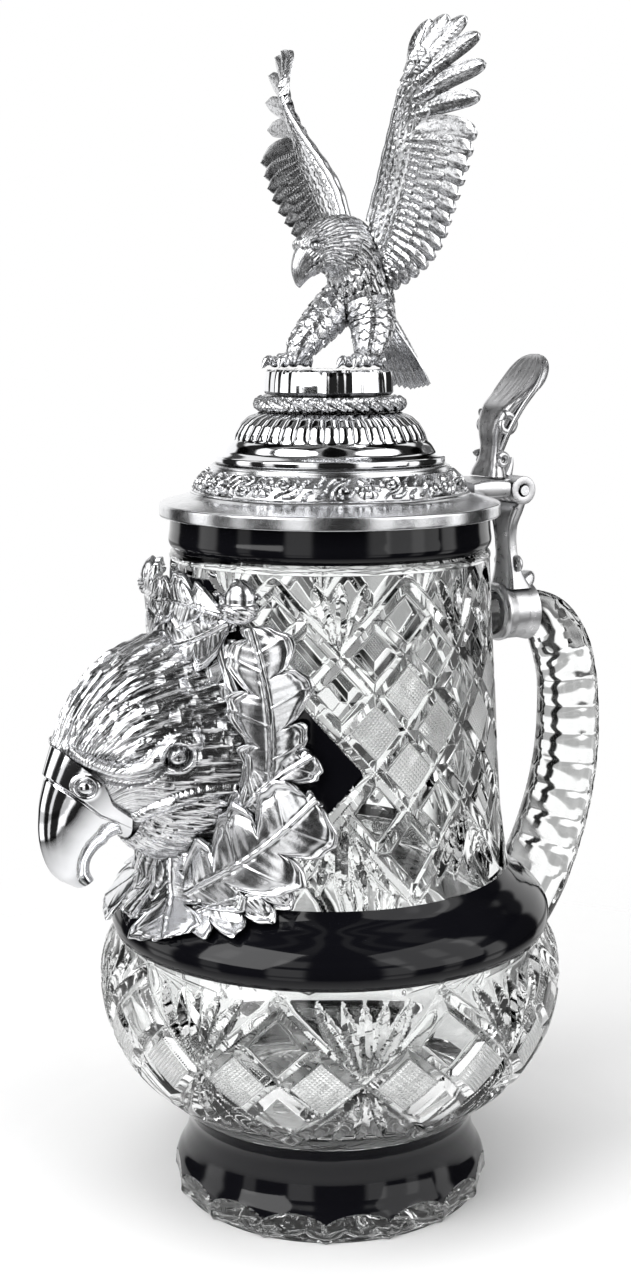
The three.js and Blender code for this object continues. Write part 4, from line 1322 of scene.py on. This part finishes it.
def acorn(shell, arc, z, size, side):
    """A nut that stands out of a scaly cup, lying along the glass."""
    t = turns(40)
    rings = []
    for radius, along in curve_through(ACORN_PROFILE, 60):
        scale = 1 + 0.06 * np.cos(10 * t + 24 * along) * (along < 0)
        height = 2.6 + size * 0.75 + size * radius * scale * np.cos(t) * 0.8
        rings.append(over_glass(side * (arc + size * radius * scale * np.sin(t)), z + size * along, height))
    add_loft(shell, rings)


def oak_branch(name, node, side):
    shell = Shell()
    for seed, leaf in enumerate(LEAVES):
        oak_leaf(shell, leaf, side, seed * 1.7)
    stem = curve_through(STEM, 120)
    bark = 1.6 + 0.25 * np.sin(np.linspace(0, 60, len(stem)))
    add_tube(shell, over_glass(stem[:, 0] * side, stem[:, 1], 2.6), bark, 14)
    acorn(shell, 29.5, 180.0, 4.8, side)
    return shell.build(name, leafy, "stein", (node,), crease=55)


badge_head()
badge_beak()
oak_branch("oak_branch_left_cast", "oak_branch_left", -1)
oak_branch("oak_branch_right_cast", "oak_branch_right", 1)

# ------------------------------------------------------------------ the finial eagle

EAGLE_TURN = math.radians(9)

# Body sections from the rump to the beak's tip: upper y and z, lower y and z, half width.
EAGLE_BODY = [
    (21, 252, 17, 247, 3), (19.5, 258, 12.5, 249.5, 6.5), (18, 264, 8, 254, 8.8),
    (15.5, 271.5, 5, 258.5, 9.6), (12, 278, 3.4, 262.5, 9.2), (7, 281.8, 2.4, 265.5, 7.9),
    (1.5, 281.8, 0.8, 266.8, 6.6), (-3.5, 280.2, -2.2, 267.4, 5.7),
    (-7.5, 277.6, -4.8, 266.6, 4.9), (-10.5, 274, -6.6, 265.4, 3.9), (-12.5, 270.2, -8, 264.4, 2.6),
    (-12.9, 266.8, -9.4, 263.2, 1.6), (-12.0, 263.6, -10.4, 262.2, 0.5),
]
EAGLE_EYE = (-7.6, 273.4)
# Middle line of each leg: x, y, z, radius.
LEGS = (
    ((-4.0, 8, 260, 5.6), (-5.6, 3, 254.5, 5.6), (-7.0, -2, 249, 4.6), (-7.8, -5.4, 245, 3.4),
     (-8, -6.8, 242.4, 2.2)),
    ((4.4, 10, 259, 6.0), (6.0, 10.4, 253, 6.2), (7.2, 9.0, 248, 5.0), (7.8, 7.8, 244.6, 3.8),
     (8, 7.2, 242.2, 2.4)),
)
LEG_STEPS = 90
TOES = ((-32, 8.5), (-4, 10.5), (26, 9.0), (178, 6.0))      # angle in degrees, length
TOE_PATH = ((0, 0), (0.3, 0.4), (0.62, -0.5), (0.82, -0.1), (1, -2.2))      # share of length, rise
TOE_Z = 242.6
TOE_STEPS = 44


def add_foot(shell, x, y):
    """Three toes forward and one back, each with knuckles and a hooked talon."""
    for lean, length in TOES:
        turn = math.radians(lean)
        ahead = np.array([math.sin(turn), -math.cos(turn), 0])
        path = [np.array([x, y, TOE_Z]) + ahead * length * reach + [0, 0, rise] for reach, rise in TOE_PATH]
        share = np.linspace(0, 1, TOE_STEPS)
        radii = np.interp(share, [0, 0.5, 0.72, 0.8, 1], [1.9, 1.5, 1.3, 1.15, 0.15])
        radii = radii * (1 + 0.12 * np.cos(share * 34) * (share < 0.75))
        add_tube(shell, curve_through(path, TOE_STEPS), radii, 16)


def eagle_body():
    points, angle = section_tube(EAGLE_BODY, 260, 220, 1)
    y, z = points[..., 1], points[..., 2]
    share = np.linspace(0, 1, len(points))[:, None] + 0 * angle[None, :]
    across = angle[None, :] / TURN * 20 + 0 * share
    body = scales(12 - share * 13, across, 0.95)
    head = plumes(share * 9, across * 1.9, 0.7, 0.5)
    beak = soft_step(share - 0.84, 0.02)
    to_head = soft_step(share - 0.5, 0.12)
    height = (body * (1 - to_head) + head * to_head) * (1 - beak)
    eye = np.hypot(y - EAGLE_EYE[0], z - EAGLE_EYE[1])
    height = np.where(eye < 1.7, 0.1, height)
    height += 0.9 * dome(eye / 0.95)
    height -= 0.35 * bell((eye - 1.3) / 0.25)
    brow = curve_through([(-10.4, 273.2), (-8.6, 275.2), (-6.2, 275.6)], 24)
    height += ridge(y, z, brow, 0.7, 0.7)
    gape = curve_through([(-9.8, 266.4), (-8.2, 268.2), (-6.2, 269.4)], 24)
    height -= ridge(y, z, gape, 0.45, 0.6)
    shell = Shell()
    marks = np.stack([share * 26, across * 4, 0 * share + 1], axis=2)
    add_loft(shell, displaced(points, height), marks)
    for leg in LEGS:
        path = curve_through(leg, LEG_STEPS)
        rings = tube_rings(path[:, :3], path[:, 3], LEG_STEPS)
        along = np.linspace(0, 1, LEG_STEPS)[:, None]
        lanes = turns(LEG_STEPS)[None, :] / TURN * 12 + 0 * along
        add_loft(shell, displaced(rings, scales(along * 8, lanes, 0.6) * unit((1 - along) * 6)))
        add_foot(shell, path[-1, 0], path[-1, 1])
    return shell.build("eagle_body_cast", small_feathered, "lid", ("eagle_body",), crease=60,
                       turn=EAGLE_TURN)


def add_blade(shell, root, tip, face, half_width, thickness, bend=0.0, tilt=0.0, rows=46, columns=15):
    """One flight feather: a thin blade with a raised shaft and slanting barbs."""
    root, tip, face = (np.asarray(value, float) for value in (root, tip, face))
    along = tip - root
    length = np.linalg.norm(along)
    along /= length
    face = face - along * np.dot(face, along)
    face /= np.linalg.norm(face)
    side = np.cross(along, face)
    side, face = side * math.cos(tilt) + face * math.sin(tilt), face * math.cos(tilt) - side * math.sin(tilt)
    u = np.linspace(0, 1, rows)[:, None]
    v = np.linspace(-1, 1, columns)[None, :]
    swell = 0.7 + 0.3 * np.sin(math.pi * unit(u * 0.8 + 0.1))
    width = half_width * swell * (1 - u**12) ** 0.5 + 0.05
    edge = np.abs(v)
    shaft = 0.32 * bell(v * width / 0.35) * (1 - 0.7 * u)
    barbs = 0.05 * np.cos(u * length * 4.6 - edge * width * 3.4) * (1 - edge**4)
    half = thickness / 2 * (1 - 0.75 * edge**2) + shaft + barbs
    bow = bend * np.sin(math.pi * u) + 0 * v
    middle = (
        root + (u * length)[..., None] * along + (v * width)[..., None] * side + bow[..., None] * side
        - (0.35 * v**2 * half_width * 0.4)[..., None] * face
    )
    upper = middle + half[..., None] * face
    lower = (middle - half[..., None] * face)[:, ::-1]
    marks = np.zeros((rows, columns * 2, 3))
    marks[..., 0] = u * length * 0.4
    marks[..., 1] = np.concatenate([v, v[:, ::-1]], axis=1) * 3 + root[2]
    marks[..., 2] = 1
    add_loft(shell, np.concatenate([upper, lower], axis=1), marks)


# Matched places on the wing's leading and trailing edges: the feathers of the arm, then those of
# the hand, which fan out to the tip.
ARM_LEAD = [
    (3.4, 9.4, 266), (3.6, 9.6, 270), (4.4, 10, 275), (5.6, 10.2, 280.5), (7.6, 10.2, 286),
    (10.4, 9.8, 291.5), (13.6, 8.6, 296.5), (17.4, 7.2, 301.5),
]
ARM_TRAIL = [
    (9, 14.2, 261.5), (17, 14.8, 264.5), (25, 14.9, 268.5), (31.5, 14.3, 274), (36.5, 12.8, 280),
    (41, 11.6, 286), (45, 10.9, 292.5), (48.2, 10.7, 300.5),
]
HAND_LEAD = [
    (20.4, 6.0, 305.5), (22.6, 5.2, 308.6), (24.6, 4.6, 311.5), (26.4, 4.4, 314), (28, 4.5, 316.6),
    (29.2, 5.0, 319.4),
]
HAND_TRAIL = [
    (47.2, 12.6, 310), (48.7, 13, 318), (46.6, 12.7, 325.5), (42.2, 12, 330.2), (36.8, 10.4, 331.2),
    (31.6, 9, 330.6),
]
WING_EDGE = ARM_LEAD[3:] + HAND_LEAD + [(29.9, 6.6, 324), (31.0, 8.8, 330)]
SECONDARIES = 15
ARM_STEPS = 200
# Rows of smaller feathers over the arm: start and end as shares of the wing's depth, number, half
# width, thickness.
COVERTS = ((0.3, 0.78, 17, 2.4, 1.5), (0.24, 0.62, 20, 2.1, 1.9), (0.15, 0.46, 22, 1.9, 2.3))


def add_wing_pad(shell, lead, trail, mirror):
    """The thick front of the wing, covered with small scale-like feathers on both faces."""
    rows, sides = 150, 120
    front, back = curve_through(lead, rows), curve_through(trail, rows)
    depth = np.interp(np.linspace(0, 1, rows), [0, 0.7, 1], [0.42, 0.40, 0.30])[:, None]
    rear = front + (back - front) * depth
    t = turns(sides)
    middle, half = (front + rear) / 2, (rear - front) / 2
    thick = np.interp(np.linspace(0, 1, rows), [0, 0.1, 0.8, 1], [1.2, 1.9, 1.5, 0.8])
    bulge = thick[:, None] * np.sin(t)[None, :] * (1 + 0.25 * np.cos(t)[None, :])
    rings = middle[:, None] - half[:, None] * np.cos(t)[None, :, None]
    rings = rings + bulge[..., None] * np.array([0, -1, 0])
    along = np.linspace(0, 1, rows)[:, None] + 0 * t[None, :]
    inwards = (1 - np.cos(t))[None, :] / 2 + 0 * along
    height = scales(inwards * 5.5, along * 26, 0.42) * unit(inwards * 6)
    add_loft(shell, displaced(rings * mirror, height))


def eagle_wing(name, node, side):
    shell = Shell()
    mirror = np.array([side, 1, 1])
    lead, trail = curve_through(ARM_LEAD, ARM_STEPS + 1), curve_through(ARM_TRAIL, ARM_STEPS + 1)

    def feather(root, tip, half_width, thickness, bend, tilt, rows=46):
        add_blade(shell, np.array(root) * mirror, np.array(tip) * mirror, (0, -1, 0.1), half_width, thickness,
                  bend * side, math.radians(tilt) * side, rows)

    for i in range(SECONDARIES):
        k = int(i / (SECONDARIES - 1) * ARM_STEPS)
        feather(lead[k] + (trail[k] - lead[k]) * 0.12, trail[k], 3.5, 0.9, -1.8, -13)
    for root, tip in zip(HAND_LEAD, HAND_TRAIL):
        feather(root, tip, 2.8, 1.0, -1.2, -12, 60)
    for root, tip in zip(HAND_LEAD, HAND_TRAIL):
        root, tip = np.array(root), np.array(tip)
        for reach, thickness in ((0.46, 1.8), (0.3, 2.4)):
            feather(root, root + (tip - root) * reach, 2.2, thickness, -0.5, -8)
    for start, end, count, half_width, thickness in COVERTS:
        for i in range(count):
            k = int((i + 0.5) / count * ARM_STEPS)
            depth = trail[k] - lead[k]
            feather(lead[k] + depth * start, lead[k] + depth * end, half_width, thickness, -0.5, -8)
    add_wing_pad(shell, ARM_LEAD + HAND_LEAD, ARM_TRAIL + HAND_TRAIL, mirror)
    share = np.linspace(0, 1, 120)
    add_tube(shell, curve_through(WING_EDGE, 120) * mirror, 1.7 - 1.0 * share + 0.08 * np.sin(share * 60), 14)
    return shell.build(name, small_feathered, "lid", (node,), crease=50, turn=EAGLE_TURN)


def eagle_tail():
    shell = Shell()
    for i in range(9):
        spread = (i - 4) / 4
        root = (spread * 2.5, 18.5, 253.5)
        tip = (spread * 9.0, 30.0 - 1.2 * abs(spread), 234.2 + 1.2 * abs(spread))
        add_blade(shell, root, tip, (0, 1, 0.6), 2.2, 1.3 + 0.3 * (i % 2), 0.5 * spread)
    for i in range(6):
        spread = (i - 2.5) / 2.5
        add_blade(shell, (spread * 3.0, 17.5, 256.5), (spread * 6.2, 25.5, 242.5), (0, 1, 0.6), 2.0, 2.8)
    return shell.build("eagle_tail_cast", small_feathered, "lid", ("eagle_tail",), crease=50,
                       turn=EAGLE_TURN)


eagle_body()
eagle_wing("eagle_left_wing_cast", "eagle_left_wing", 1)
eagle_wing("eagle_right_wing_cast", "eagle_right_wing", -1)
eagle_tail()

# ------------------------------------------------------------------ floor, light and camera

VIEW_AZIMUTH = math.radians(62)
VIEW_DISTANCE = 0.497
VIEW_HEIGHT = 0.2487
VIEW_TILT = math.radians(9.8)
LENS_MM, LENS_SHIFT = 49.2, -0.0113
AIM_HEIGHT = 0.15                   # height the lights look at


def floor():
    """A pale round floor that fades out, so that it melts into the white surroundings."""
    reach, sides = 0.9, 96
    rim = [(reach * math.cos(TURN * i / sides), reach * math.sin(TURN * i / sides), 0) for i in range(sides)]
    mesh = bpy.data.meshes.new("floor")
    mesh.from_pydata(rim, [], [tuple(range(sides))])
    piece = placed("floor", mesh)
    material, nodes, shader, position = new_material("pale_floor")
    cloud = nodes.noise(3.0, 3.0, 0.5, position)
    pale = nodes.mix_colour(cloud, (0.86, 0.86, 0.86, 1), (0.9, 0.9, 0.9, 1))
    link(nodes, pale, shader.inputs["Base Color"])
    shader.inputs["Roughness"].default_value = 0.8
    distance = nodes.add("ShaderNodeVectorMath", {0: position}, operation="LENGTH").outputs["Value"]
    link(nodes, nodes.spread(distance, 0.1, 0.34, 1.0, 0.0), shader.inputs["Alpha"])
    mesh.materials.append(material)


# Brightness round the horizon, as degrees from straight behind the stein as the camera sees it.
STUDIO_STOPS = (
    (-155, 0.02), (-151, 1.5), (-139, 1.5), (-137, 0.02), (-122, 0.02), (-120, 1.0), (-112, 1.0),
    (-110, 0.02), (-96, 0.02), (-94, 1.9), (-84, 1.9), (-80, 0.02), (-50, 0.02), (-46, 1.15), (-25, 1.15),
    (-23, 0.02), (-14, 0.02), (-12, 1.15), (44, 1.15), (48, 0.02), (74, 0.02), (78, 1.9), (92, 1.9),
    (96, 0.02), (112, 0.02), (114, 1.0), (122, 1.0), (124, 0.02), (148, 0.02), (150, 1.5), (166, 1.5),
    (169, 0.02),
)
# Brightness from straight down (-1) to straight up (1).
STUDIO_LEVELS = (
    (-1.0, 0.1), (-0.4, 0.1), (-0.36, 0.95), (-0.22, 0.95), (-0.2, 0.4), (-0.12, 0.4), (-0.1, 1.0),
    (0.34, 1.0), (0.38, 0.05), (0.5, 0.05), (0.54, 0.9), (0.72, 0.9), (0.76, 0.06), (1.0, 0.3),
)


def level_ramp(nodes, value, stops, low, high):
    """A ramp of grey levels over a value, from pairs of value and level."""
    ramp = nodes.add("ShaderNodeValToRGB", {0: nodes.spread(value, low, high)})
    marks = ramp.color_ramp.elements
    for _ in stops[2:]:
        marks.new(1.0)
    for mark, (place, level) in zip(marks, stops):
        mark.position = (place - low) / (high - low)
        mark.color = (level, level, level, 1)
    return ramp.outputs[0]


def studio():
    """A dark studio with tall bright panels, and a white wall behind the stein."""
    world = bpy.data.worlds.new("studio")
    bpy.context.scene.world = world
    world.use_nodes = True
    nodes = Nodes(world.node_tree)
    background = world.node_tree.nodes["Background"]
    direction = nodes.add("ShaderNodeTexCoord").outputs["Generated"]
    turned = nodes.add("ShaderNodeVectorRotate", {"Vector": direction, "Angle": -VIEW_AZIMUTH - math.pi / 2},
                       rotation_type="Z_AXIS")
    split = nodes.add("ShaderNodeSeparateXYZ", {0: turned.outputs[0]})
    angle = nodes.math("MULTIPLY", nodes.math("ARCTAN2", split.outputs["Y"], split.outputs["X"]), 360 / TURN)
    panels = level_ramp(nodes, angle, STUDIO_STOPS, -180, 180)
    tiers = level_ramp(nodes, split.outputs["Z"], STUDIO_LEVELS, -1, 1)
    all_round = nodes.math("MULTIPLY", panels, tiers)
    seen = nodes.add("ShaderNodeLightPath").outputs["Is Camera Ray"]
    link(nodes, nodes.mix_colour(seen, all_round, (1, 1, 1, 1)), background.inputs["Color"])
    background.inputs["Strength"].default_value = 1.0


def softbox(name, azimuth, elevation, distance, size, power, mirrored=True):
    """An area light that looks at the middle of the stein, with or without a mirror image in it."""
    light = bpy.data.lights.new(name, "AREA")
    light.shape = "RECTANGLE"
    light.size, light.size_y = size
    light.energy = power
    piece = placed(name, light)
    flat = math.cos(elevation)
    toward = np.array([math.sin(azimuth) * flat, -math.cos(azimuth) * flat, math.sin(elevation)])
    piece.location = toward * distance + np.array([0, 0, AIM_HEIGHT])
    piece.rotation_euler = (math.pi / 2 - elevation, 0, azimuth)
    piece.visible_glossy = mirrored


def camera():
    lens = bpy.data.cameras.new("camera")
    lens.sensor_width = 36
    lens.lens = LENS_MM
    lens.shift_x = LENS_SHIFT
    piece = placed("camera", lens)
    piece.location = (
        math.sin(VIEW_AZIMUTH) * VIEW_DISTANCE, -math.cos(VIEW_AZIMUTH) * VIEW_DISTANCE, VIEW_HEIGHT,
    )
    piece.rotation_euler = (math.pi / 2 - VIEW_TILT, 0, VIEW_AZIMUTH)
    bpy.context.scene.camera = piece


floor()
studio()
softbox("key_light", VIEW_AZIMUTH - math.radians(50), math.radians(35), 1.3, (0.9, 1.3), 16)
softbox("fill_light", VIEW_AZIMUTH + math.radians(60), math.radians(28), 1.3, (1.1, 1.5), 9)
softbox("top_light", VIEW_AZIMUTH, math.radians(80), 1.4, (1.3, 1.3), 14, False)
camera()
bpy.context.scene.view_settings.view_transform = "Standard"
